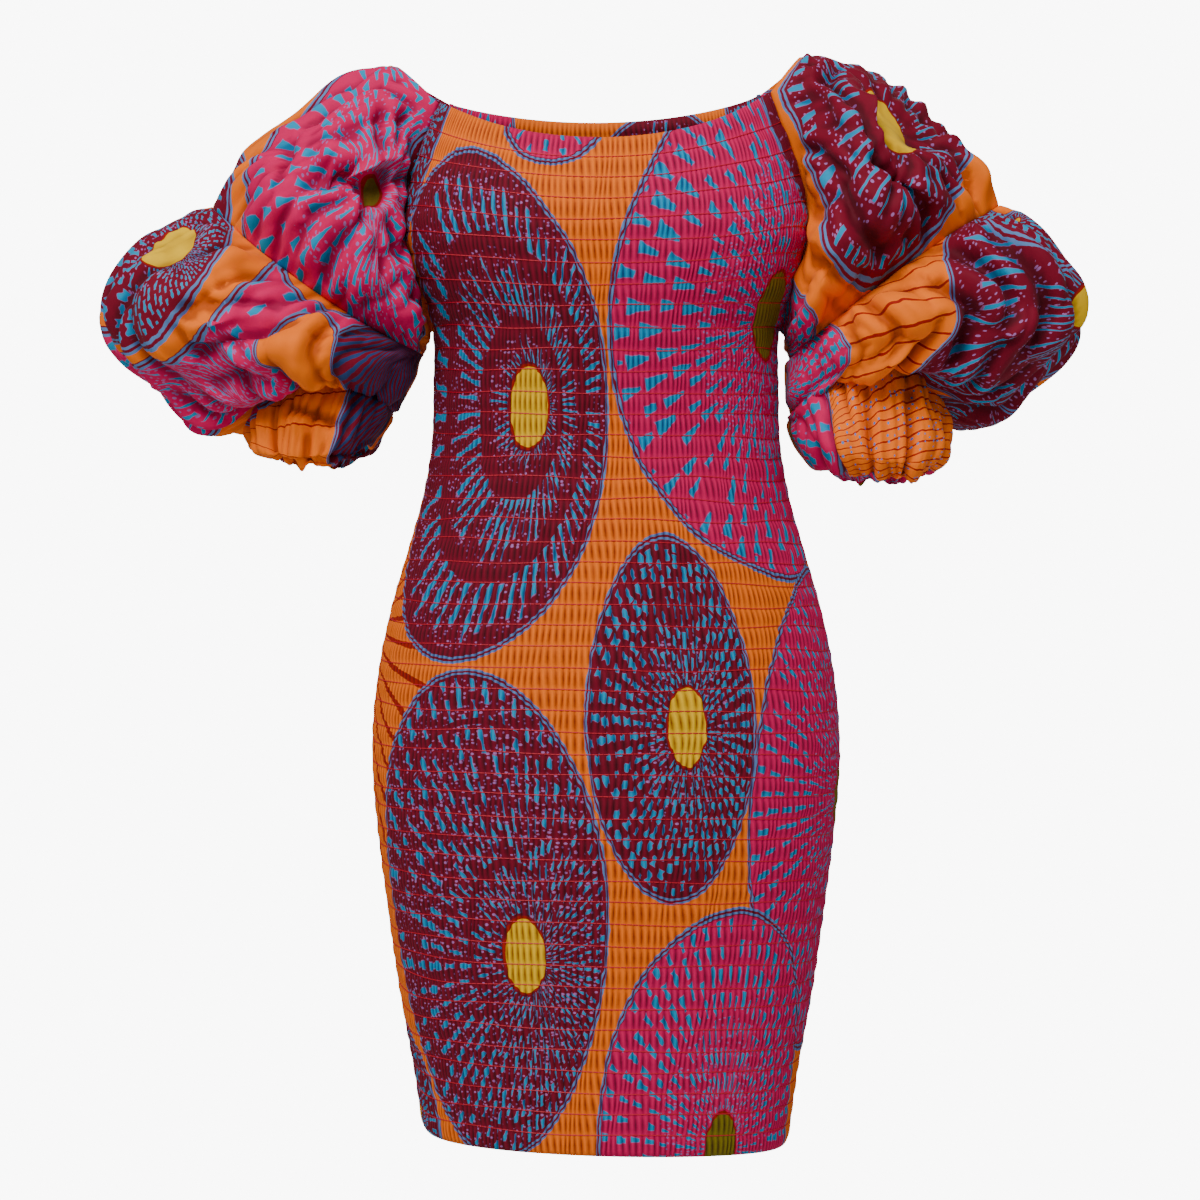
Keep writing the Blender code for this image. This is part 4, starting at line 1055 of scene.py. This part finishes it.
def wax_group():
    """Inks of the print from an oval's coordinates: border, rings of dashes, dots and hub."""
    inks = [(label, "NodeSocketColor", (*INK[label], 1)) for label in INK]
    inputs = [(label, "NodeSocketVector", None) for label in ("Cloth", *STATE)] + inks
    tree, enter, leave = new_group("Wax inks", "ShaderNodeTree", inputs, [("Color", "NodeSocketColor")])
    get = enter.outputs
    angle, rho, edge = split(tree, get["Polar"])
    spokes, rings, wedge = split(tree, get["Form"])
    kind, dots = split(tree, get["Tone"])[:2]
    hub, dash, stagger = split(tree, get["Look"])
    bands, phase, plain_share = split(tree, get["Bands"])

    def is_kind(number):
        return between(tree, kind, number - 0.5, number + 0.5)

    # dashes: one to a cell of rings and spokes, each a little longer, wider or further along than the next
    spoke_at = calc(tree, "MULTIPLY", angle, spokes)
    spoke = calc(tree, "FLOOR", spoke_at)
    odd = product(tree, calc(tree, "MODULO", spoke, 2.0), stagger, 0.5)
    ring_at = calc(tree, "ADD", calc(tree, "MULTIPLY_ADD", rho, rings, phase), odd)
    ring = calc(tree, "FLOOR", ring_at)
    along = calc(tree, "FRACT", ring_at)
    chance, chance_2, chance_3 = cell_noise(tree, ring, spoke, kind)
    aside, late = cell_noise(tree, spoke, ring, 3.7)[:2]
    off_line = calc(tree, "ADD", calc(tree, "FRACT", spoke_at), scaled(tree, aside, -0.62, 0.24))
    beside = calc(tree, "MULTIPLY", calc(tree, "ABSOLUTE", off_line), 2.0)
    thin_in = product(tree, calc(tree, "MAXIMUM", wedge, 0.0), calc(tree, "SUBTRACT", 1.0, along))
    thin_out = product(tree, calc(tree, "MAXIMUM", calc(tree, "MULTIPLY", wedge, -1.0), 0.0), along)
    taper = calc(tree, "SUBTRACT", 1.0, calc(tree, "ADD", thin_in, thin_out))
    swing_at = calc(tree, "ADD", calc(tree, "MULTIPLY", along, 12.0), calc(tree, "MULTIPLY", aside, 6.0))
    swing = calc(tree, "SINE", swing_at)
    sway = product(tree, swing, calc(tree, "SUBTRACT", 1.0, calc(tree, "MAXIMUM", wedge, 0.0)))
    width = product(tree, dash, taper, scaled(tree, chance, 0.62, 0.60), scaled(tree, sway, 1.0, 0.30))
    first = scaled(tree, late, 0.04, 0.24)
    last = scaled(tree, chance_2, 0.66, 0.32)
    shown = calc(tree, "GREATER_THAN", chance_3, 0.07)
    outside_hub = calc(tree, "GREATER_THAN", rho, calc(tree, "ADD", hub, HUB_CLEAR))
    clear = calc(tree, "GREATER_THAN", edge, CLEAR_OF_BORDER)
    band_at = calc(tree, "FRACT", calc(tree, "ADD", calc(tree, "MULTIPLY", rho, bands), phase))
    banded = calc(tree, "GREATER_THAN", bands, 0.5)
    plain = calc(tree, "MULTIPLY", banded, calc(tree, "LESS_THAN", band_at, plain_share))
    open_cloth = calc(tree, "SUBTRACT", 1.0, plain)
    inked = product(tree, open_cloth, outside_hub, clear, shown)
    dashes = product(tree, calc(tree, "LESS_THAN", beside, width), between(tree, along, first, last), inked)
    wider = calc(tree, "ADD", width, FRINGE)
    longer = between(tree, along, calc(tree, "SUBTRACT", first, 0.02), calc(tree, "ADD", last, 0.02))
    fringe = product(tree, calc(tree, "LESS_THAN", beside, wider), longer, inked)

    speck = tree.nodes.new("ShaderNodeTexVoronoi")
    speck.voronoi_dimensions = "2D"
    speck.inputs["Scale"].default_value = SPECKLE_SCALE
    tree.links.new(vector(tree, "MULTIPLY", get["Cloth"], (SPECKLE_STRETCH, 1, 0)), speck.inputs["Vector"])
    luck, size = split(tree, speck.outputs["Color"])[:2]
    round_dot = calc(tree, "LESS_THAN", speck.outputs["Distance"], scaled(tree, size, 0.15, 0.11))
    near = calc(tree, "MAXIMUM", banded, calc(tree, "LESS_THAN", rho, SPECKLE_REACH))
    filled = calc(tree, "LESS_THAN", luck, dots)
    speckle = product(tree, round_dot, filled, near, open_cloth, outside_hub, clear)

    ground = mix(tree, "RGBA", is_kind(BURGUNDY), get["orange"], get["burgundy"])
    ground = mix(tree, "RGBA", is_kind(MAGENTA), ground, get["magenta"])
    ground = mix(tree, "RGBA", is_kind(STRIPED), ground, get["burgundy"])
    straight = calc(tree, "ABSOLUTE", calc(tree, "SUBTRACT", calc(tree, "FRACT", spoke_at), 0.5))
    rayed = calc(tree, "LESS_THAN", calc(tree, "MULTIPLY", straight, 2.0), dash)
    ground = mix(tree, "RGBA", product(tree, is_kind(LINED), rayed), ground, get["dark red"])
    # printed stripes in dark navy, partly painted shade
    ground = mix(tree, "RGBA", product(tree, is_kind(STRIPED), rayed), ground, get["navy"])
    motif = calc(tree, "MAXIMUM", is_kind(BURGUNDY), is_kind(MAGENTA))
    colour = mix(tree, "RGBA", product(tree, speckle, motif), ground, get["mauve"])
    fine = calc(tree, "LESS_THAN", speck.outputs["Distance"], 0.17)
    fine_dot = product(tree, speckle, fine, is_kind(LINED))
    colour = mix(tree, "RGBA", fine_dot, colour, get["lilac"])
    colour = mix(tree, "RGBA", product(tree, fringe, motif, 0.75), colour, get["mauve"])
    colour = mix(tree, "RGBA", product(tree, dashes, motif), colour, get["turquoise"])
    hub_ink = mix(tree, "RGBA", is_kind(MAGENTA), get["yellow"], get["olive"])
    hub_rim = product(tree, calc(tree, "LESS_THAN", rho, calc(tree, "ADD", hub, HUB_RIM)), motif)
    colour = mix(tree, "RGBA", hub_rim, colour, get["dark red"])
    in_hub = product(tree, calc(tree, "LESS_THAN", rho, hub), motif)
    colour = mix(tree, "RGBA", in_hub, colour, hub_ink)

    # border: two lilac lines on a dark band
    bordered = calc(tree, "GREATER_THAN", kind, 0.5)
    bordered = product(tree, bordered, calc(tree, "SUBTRACT", 1.0, is_kind(LINED)))
    for low, high, ink in BORDER:
        here = product(tree, bordered, between(tree, edge, low, high))
        colour = mix(tree, "RGBA", here, colour, get[ink])
    tree.links.new(colour, leave.inputs["Color"])
    return tree


def cotton_group():
    """Cotton under the ink: weave, uneven dye, and painted shade, darker and warmer, in the creases."""
    tree, enter, leave = new_group(
        "Printed cotton",
        "ShaderNodeTree",
        [
            ("Ink", "NodeSocketColor", None),
            ("Cloth", "NodeSocketVector", None),
            ("Pucker", "NodeSocketFloat", 0.0),
            ("Crease shade", "NodeSocketFloat", 0.6),
        ],
        [("Color", "NodeSocketColor"), ("Weave", "NodeSocketFloat")],
    )
    get = enter.outputs
    dye = tree.nodes.new("ShaderNodeTexNoise")
    dye.inputs["Scale"].default_value = 60
    dye.inputs["Detail"].default_value = 3
    tree.links.new(get["Cloth"], dye.inputs["Vector"])
    level = calc(tree, "ADD", 0.86, calc(tree, "MULTIPLY", dye.outputs["Fac"], 0.28))
    dyed = vector(tree, "SCALE", get["Ink"])
    tree.links.new(level, dyed.node.inputs["Scale"])
    # painted shade in the creases: the ink darkens towards the crease tint as the crease shade mask rises
    shade = calc(tree, "MULTIPLY", get["Pucker"], get["Crease shade"])
    deep = vector(tree, "MULTIPLY", dyed, PAINTED_CREASE_SHADE_TINT)
    colour = mix(tree, "VECTOR", shade, dyed, deep)
    tree.links.new(colour, leave.inputs["Color"])
    u, v = split(tree, get["Cloth"])[:2]
    warp = calc(tree, "SINE", calc(tree, "MULTIPLY", u, 2 * math.pi / WEAVE_PITCH))
    weft = calc(tree, "SINE", calc(tree, "MULTIPLY", v, 2 * math.pi / WEAVE_PITCH))
    tree.links.new(calc(tree, "MULTIPLY", warp, weft), leave.inputs["Weave"])
    return tree


def print_material(name, ovals, groups, shade):
    """Printed cotton with its ovals laid one over another in the cloth's own coordinates."""
    material = bpy.data.materials.new(name)
    material.use_nodes = True
    tree = material.node_tree
    shader = tree.nodes["Principled BSDF"]
    flat = tree.nodes.new("ShaderNodeUVMap")
    flat.uv_map = "cloth"
    waver = tree.nodes.new("ShaderNodeTexNoise")
    waver.inputs["Scale"].default_value = WAVER_SCALE
    waver.inputs["Detail"].default_value = 1
    tree.links.new(flat.outputs["UV"], waver.inputs["Vector"])
    shift = vector(tree, "SCALE", vector(tree, "SUBTRACT", waver.outputs["Color"], (0.5, 0.5, 0.5)))
    shift.node.inputs["Scale"].default_value = WAVER
    cloth = vector(tree, "MULTIPLY", vector(tree, "ADD", flat.outputs["UV"], shift), (1, 1, 0))
    state = {label: None for label in STATE}
    for oval in ovals:
        u, v, half_u, half_v, hub_u, hub_v, hub, ink, spokes, rings, wedge, dash, stagger, dots = oval[:14]
        node = tree.nodes.new("ShaderNodeGroup")
        node.node_tree = groups["oval"]
        tree.links.new(cloth, node.inputs["Cloth"])
        for label, socket in state.items():
            if socket:
                tree.links.new(socket, node.inputs[label])
        node.inputs["Centre"].default_value = (u, v, 0)
        node.inputs["Half size"].default_value = (half_u, half_v, 1)
        node.inputs["Hub"].default_value = (hub_u, hub_v, 0)
        node.inputs["Own form"].default_value = (spokes, rings, wedge)
        node.inputs["Own tone"].default_value = (ink, dots, 0)
        node.inputs["Own look"].default_value = (hub, dash, stagger)
        node.inputs["Own bands"].default_value = oval[14:] or NO_BANDS
        state = {label: node.outputs[label] for label in STATE}
    inks = tree.nodes.new("ShaderNodeGroup")
    inks.node_tree = groups["wax"]
    for label, socket in state.items():
        tree.links.new(socket, inks.inputs[label])
    tree.links.new(flat.outputs["UV"], inks.inputs["Cloth"])
    # painted crease shade from the mesh, which darkens the print in the creases
    pucker = tree.nodes.new("ShaderNodeAttribute")
    pucker.attribute_name = "pucker"
    cotton = tree.nodes.new("ShaderNodeGroup")
    cotton.node_tree = groups["cotton"]
    tree.links.new(inks.outputs["Color"], cotton.inputs["Ink"])
    tree.links.new(flat.outputs["UV"], cotton.inputs["Cloth"])
    tree.links.new(pucker.outputs["Fac"], cotton.inputs["Pucker"])
    cotton.inputs["Crease shade"].default_value = shade
    bump = tree.nodes.new("ShaderNodeBump")
    bump.inputs["Strength"].default_value = 0.12
    bump.inputs["Distance"].default_value = 0.0002
    tree.links.new(cotton.outputs["Weave"], bump.inputs["Height"])
    tree.links.new(bump.outputs["Normal"], shader.inputs["Normal"])
    tree.links.new(cotton.outputs["Color"], shader.inputs["Base Color"])
    shader.inputs["Roughness"].default_value = 0.72
    shader.inputs["Specular IOR Level"].default_value = 0.18
    shader.inputs["Sheen Weight"].default_value = 0.03
    shader.inputs["Sheen Roughness"].default_value = 0.5
    return material


def shared_groups():
    """The node groups of the print, made once."""
    makers = {"oval": ("Place oval", place_oval_group), "wax": ("Wax inks", wax_group)}
    makers["cotton"] = ("Printed cotton", cotton_group)
    return {key: bpy.data.node_groups.get(name) or make() for key, (name, make) in makers.items()}


def thread_material():
    """Dark red elastic thread, a little uneven along its twist."""
    material = bpy.data.materials.new("elastic_thread")
    material.use_nodes = True
    tree = material.node_tree
    shader = tree.nodes["Principled BSDF"]
    coordinates = tree.nodes.new("ShaderNodeTexCoord")
    twist = tree.nodes.new("ShaderNodeTexNoise")
    twist.inputs["Scale"].default_value = 900
    tree.links.new(coordinates.outputs["Object"], twist.inputs["Vector"])
    level = calc(tree, "ADD", 0.7, calc(tree, "MULTIPLY", twist.outputs["Fac"], 0.6))
    colour = vector(tree, "SCALE", THREAD_COLOUR)
    tree.links.new(level, colour.node.inputs["Scale"])
    tree.links.new(colour, shader.inputs["Base Color"])
    shader.inputs["Roughness"].default_value = 0.6
    return material


# ================================================================ stitching

def stitch_group():
    """Geometry nodes: short stitches, end to end, along each edge line of a mesh."""
    tree, enter, leave = new_group(
        "Stitch rows",
        "GeometryNodeTree",
        [
            ("Rows", "NodeSocketGeometry", None),
            ("Pitch", "NodeSocketFloat", 0.0045),
            ("Length", "NodeSocketFloat", 0.0040),
            ("Radius", "NodeSocketFloat", 0.00035),
            ("Material", "NodeSocketMaterial", None),
        ],
        [("Stitches", "NodeSocketGeometry")],
    )
    get = enter.outputs
    to_curve = tree.nodes.new("GeometryNodeMeshToCurve")
    tree.links.new(get["Rows"], to_curve.inputs["Mesh"])
    to_points = tree.nodes.new("GeometryNodeCurveToPoints")
    to_points.mode = "LENGTH"
    tree.links.new(to_curve.outputs["Curve"], to_points.inputs["Curve"])
    tree.links.new(get["Pitch"], to_points.inputs["Length"])
    stitch = tree.nodes.new("GeometryNodeMeshCylinder")
    stitch.inputs["Vertices"].default_value = 4
    tree.links.new(get["Radius"], stitch.inputs["Radius"])
    tree.links.new(get["Length"], stitch.inputs["Depth"])
    along = tree.nodes.new("FunctionNodeAlignRotationToVector")
    along.axis = "Z"
    tree.links.new(to_points.outputs["Tangent"], along.inputs["Vector"])
    instances = tree.nodes.new("GeometryNodeInstanceOnPoints")
    tree.links.new(to_points.outputs["Points"], instances.inputs["Points"])
    tree.links.new(stitch.outputs["Mesh"], instances.inputs["Instance"])
    tree.links.new(along.outputs["Rotation"], instances.inputs["Rotation"])
    real = tree.nodes.new("GeometryNodeRealizeInstances")
    tree.links.new(instances.outputs["Instances"], real.inputs["Geometry"])
    paint = tree.nodes.new("GeometryNodeSetMaterial")
    tree.links.new(real.outputs["Geometry"], paint.inputs["Geometry"])
    tree.links.new(get["Material"], paint.inputs["Material"])
    tree.links.new(paint.outputs["Geometry"], leave.inputs["Stitches"])
    return tree


def stitch_piece(name, lines, material, settings):
    """Stitches along the lines, turned to a plain mesh."""
    points, edges = [], []
    for line in lines:
        first = len(points)
        points += [tuple(p) for p in line]
        edges += [(first + k, first + k + 1) for k in range(len(line) - 1)]
    mesh = bpy.data.meshes.new(name + "_rows")
    mesh.from_pydata(points, edges, [])
    piece = bpy.data.objects.new(name, mesh)
    bpy.context.scene.collection.objects.link(piece)
    modifier = piece.modifiers.new("stitches", "NODES")
    modifier.node_group = bpy.data.node_groups.get("Stitch rows") or stitch_group()
    values = {
        "Pitch": settings.pitch,
        "Length": settings.length,
        "Radius": settings.radius,
        "Material": material,
    }
    for item in modifier.node_group.interface.items_tree:
        if item.in_out == "INPUT" and item.name in values:
            modifier[item.identifier] = values[item.name]
    view = bpy.context.evaluated_depsgraph_get()
    view.update()
    made = bpy.data.meshes.new_from_object(piece.evaluated_get(view), depsgraph=view)
    piece.modifiers.remove(modifier)
    piece.data = made
    bpy.data.meshes.remove(mesh)
    made.name = name
    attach(piece, "root")
    return piece


# ================================================================ settings and operators

class DressShirring(PropertyGroup):
    """Shirring of the body panels"""

    ribs: IntProperty(name="Ribs", description="Ribs across a body panel", default=100, min=10, max=120)
    rows: IntProperty(
        name="Rows", description="Gaps between elastic rows, neck to hem", default=48, min=4, max=60
    )
    depth: FloatProperty(
        name="Crease depth", description="Deepest crease between two ribs", default=0.0022, min=0, max=0.003,
        subtype="DISTANCE", unit="LENGTH",
    )


class DressStitching(PropertyGroup):
    """Elastic thread along the rows"""

    pitch: FloatProperty(
        name="Pitch", description="From one stitch to the next", default=0.0045, min=0.001,
        subtype="DISTANCE", unit="LENGTH",
    )
    length: FloatProperty(
        name="Length", description="Length of a stitch", default=0.0041, min=0.0005,
        subtype="DISTANCE", unit="LENGTH",
    )
    radius: FloatProperty(
        name="Radius", description="Half the thread's thickness", default=0.00042, min=0.0001,
        subtype="DISTANCE", unit="LENGTH",
    )


class DressStudio(PropertyGroup):
    """Lights and backdrop"""

    key: FloatProperty(
        name="Key light", description="Power of the large front light", default=98, min=0, unit="POWER"
    )
    fill: FloatProperty(
        name="Fill light", description="Power of each of the other lights", default=10, min=0, unit="POWER"
    )
    world: FloatProperty(
        name="Room light", description="Strength of the room's own light", default=0.20, min=0
    )
    backdrop: FloatProperty(
        name="Backdrop", description="Brightness of the plain backdrop", default=9.0, min=0
    )


class DRESS_OT_body(Operator):
    """Makes the shirred front and back panels and the elastic thread along their rows"""

    bl_idname = "dress.body"
    bl_label = "Body panels"

    def execute(self, context):
        shirring, stitching = context.scene.dress_shirring, context.scene.dress_stitching
        groups = shared_groups()
        thread = bpy.data.materials.get("elastic_thread") or thread_material()
        for node, side in (("front_panel", -1), ("back_panel", 1)):
            outer, inner, pucker, flat, threads = body_grids(
                side, shirring.ribs, shirring.rows, shirring.depth
            )
            mesh = wall_mesh(f"{node}_cloth", outer, inner, flat, flat[::2, ::2], pucker, False, side > 0)
            material = print_material(f"{node}_print", OVALS[node], groups, CREASE_SHADE["body"])
            piece = place(f"{node}_cloth", mesh, material, node)
            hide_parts(node)
            stitches = stitch_piece(f"{node}_stitches", threads[1:-1], thread, stitching)
        return {"FINISHED"}


class DRESS_OT_sleeves(Operator):
    """Makes the three gathered puffs of each sleeve"""

    bl_idname = "dress.sleeves"
    bl_label = "Sleeves"

    def execute(self, context):
        groups = shared_groups()
        for sleeve, hand in HANDS.items():
            for puff, (cut_width, cut_outside, cut_under) in SLEEVE_CUTS.items():
                node = f"{sleeve}_sleeve_{puff}_puff"
                outer, inner, pucker, down = dressed_puff(sleeve, puff)
                # start the grid under the arm, where the cut cloth is joined
                half = SLEEVE_COLUMNS // 2
                outer = np.roll(outer, half, axis=1) * (hand, 1, 1)
                inner = np.roll(inner, half // 2, axis=1) * (hand, 1, 1)
                pucker = np.roll(pucker, half, axis=1)
                turn = np.linspace(-math.pi, math.pi, SLEEVE_COLUMNS + 1)
                reach = (cut_outside + cut_under) / 2 + (cut_outside - cut_under) / 2 * np.cos(turn)
                u = turn[None, :] * cut_width / (2 * math.pi) + 0 * down[:, None]
                v = -down[:, None] * reach[None, :]
                flat = np.stack([u, v], axis=-1)
                mesh = wall_mesh(f"{node}_cloth", outer, inner, flat, flat[::2, ::2], pucker, True, hand < 0)
                material = print_material(f"{node}_print", OVALS[node], groups, CREASE_SHADE["sleeve"])
                piece = place(f"{node}_cloth", mesh, material, node)
                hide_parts(node)
        return {"FINISHED"}


class DRESS_OT_studio(Operator):
    """Makes the floor, the lights and the camera"""

    bl_idname = "dress.studio"
    bl_label = "Studio"

    def execute(self, context):
        settings = context.scene.dress_studio
        make_floor()
        for name, at, power in LIGHTS:
            make_light(name, at, getattr(settings, power))
        world = bpy.data.worlds.new("room")
        world.use_nodes = True
        tree = world.node_tree
        background = tree.nodes["Background"]
        background.inputs["Color"].default_value = (1, 1, 1, 1)
        path = tree.nodes.new("ShaderNodeLightPath")
        strength = mix(tree, "FLOAT", path.outputs["Is Camera Ray"], settings.world, settings.backdrop)
        tree.links.new(strength, background.inputs["Strength"])
        context.scene.world = world
        data = bpy.data.cameras.new("camera")
        data.sensor_width = SENSOR
        data.lens = SENSOR * -CAMERA_AT[1] / VIEW_WIDTH
        camera = bpy.data.objects.new("camera", data)
        camera.location = CAMERA_AT
        camera.rotation_euler = (math.pi / 2, 0, 0)
        context.scene.collection.objects.link(camera)
        context.scene.camera = camera
        return {"FINISHED"}


def make_light(name, at, power):
    """A square soft light that faces the dress."""
    data = bpy.data.lights.new(name, "AREA")
    data.shape = "SQUARE"
    data.size = LIGHT_SIZE
    data.energy = power
    light = bpy.data.objects.new(name, data)
    light.location = at
    aim = np.array([0, 0, LIGHTS_FACE_Z]) - np.array(at)
    lean = math.acos(-aim[2] / np.linalg.norm(aim))
    light.rotation_euler = (lean, 0, math.atan2(aim[1], aim[0]) - math.pi / 2)
    bpy.context.scene.collection.objects.link(light)


def make_floor():
    """A plain floor under the dress, part of the stage."""
    half = FLOOR_SIZE / 2
    corners = [(x * half, y * half, FLOOR_Z) for x, y in ((-1, -1), (1, -1), (1, 1), (-1, 1))]
    mesh = bpy.data.meshes.new("floor")
    mesh.from_pydata(corners, [], [(0, 1, 2, 3)])
    material = bpy.data.materials.new("floor")
    material.use_nodes = True
    shader = material.node_tree.nodes["Principled BSDF"]
    shader.inputs["Base Color"].default_value = FLOOR_COLOUR
    shader.inputs["Roughness"].default_value = 0.9
    mesh.materials.append(material)
    floor = bpy.data.objects.new("floor", mesh)
    bpy.context.scene.collection.objects.link(floor)


class DRESS_PT_panel(Panel):
    """The sidebar panel with the settings and the steps"""

    bl_label = "Wax print dress"
    bl_idname = "DRESS_PT_panel"
    bl_space_type = "VIEW_3D"
    bl_region_type = "UI"
    bl_category = "Dress"

    def draw(self, context):
        for settings in ("dress_shirring", "dress_stitching", "dress_studio"):
            box = self.layout.box()
            for key in getattr(context.scene, settings).bl_rna.properties.keys():
                if key not in {"rna_type", "name"}:
                    box.prop(getattr(context.scene, settings), key)
        for operator in STEPS:
            self.layout.operator(operator.bl_idname)


STEPS = (DRESS_OT_body, DRESS_OT_sleeves, DRESS_OT_studio)
SETTINGS = {"dress_shirring": DressShirring, "dress_stitching": DressStitching, "dress_studio": DressStudio}
CLASSES = (*SETTINGS.values(), *STEPS, DRESS_PT_panel)


def register():
    for cls in CLASSES:
        bpy.utils.register_class(cls)
    for name, settings in SETTINGS.items():
        setattr(bpy.types.Scene, name, PointerProperty(type=settings))


def unregister():
    for name in SETTINGS:
        delattr(bpy.types.Scene, name)
    for cls in reversed(CLASSES):
        bpy.utils.unregister_class(cls)


def main():
    register()
    bpy.ops.dress.body()
    bpy.ops.dress.sleeves()
    bpy.ops.dress.studio()


if __name__ == "__main__":
    main()
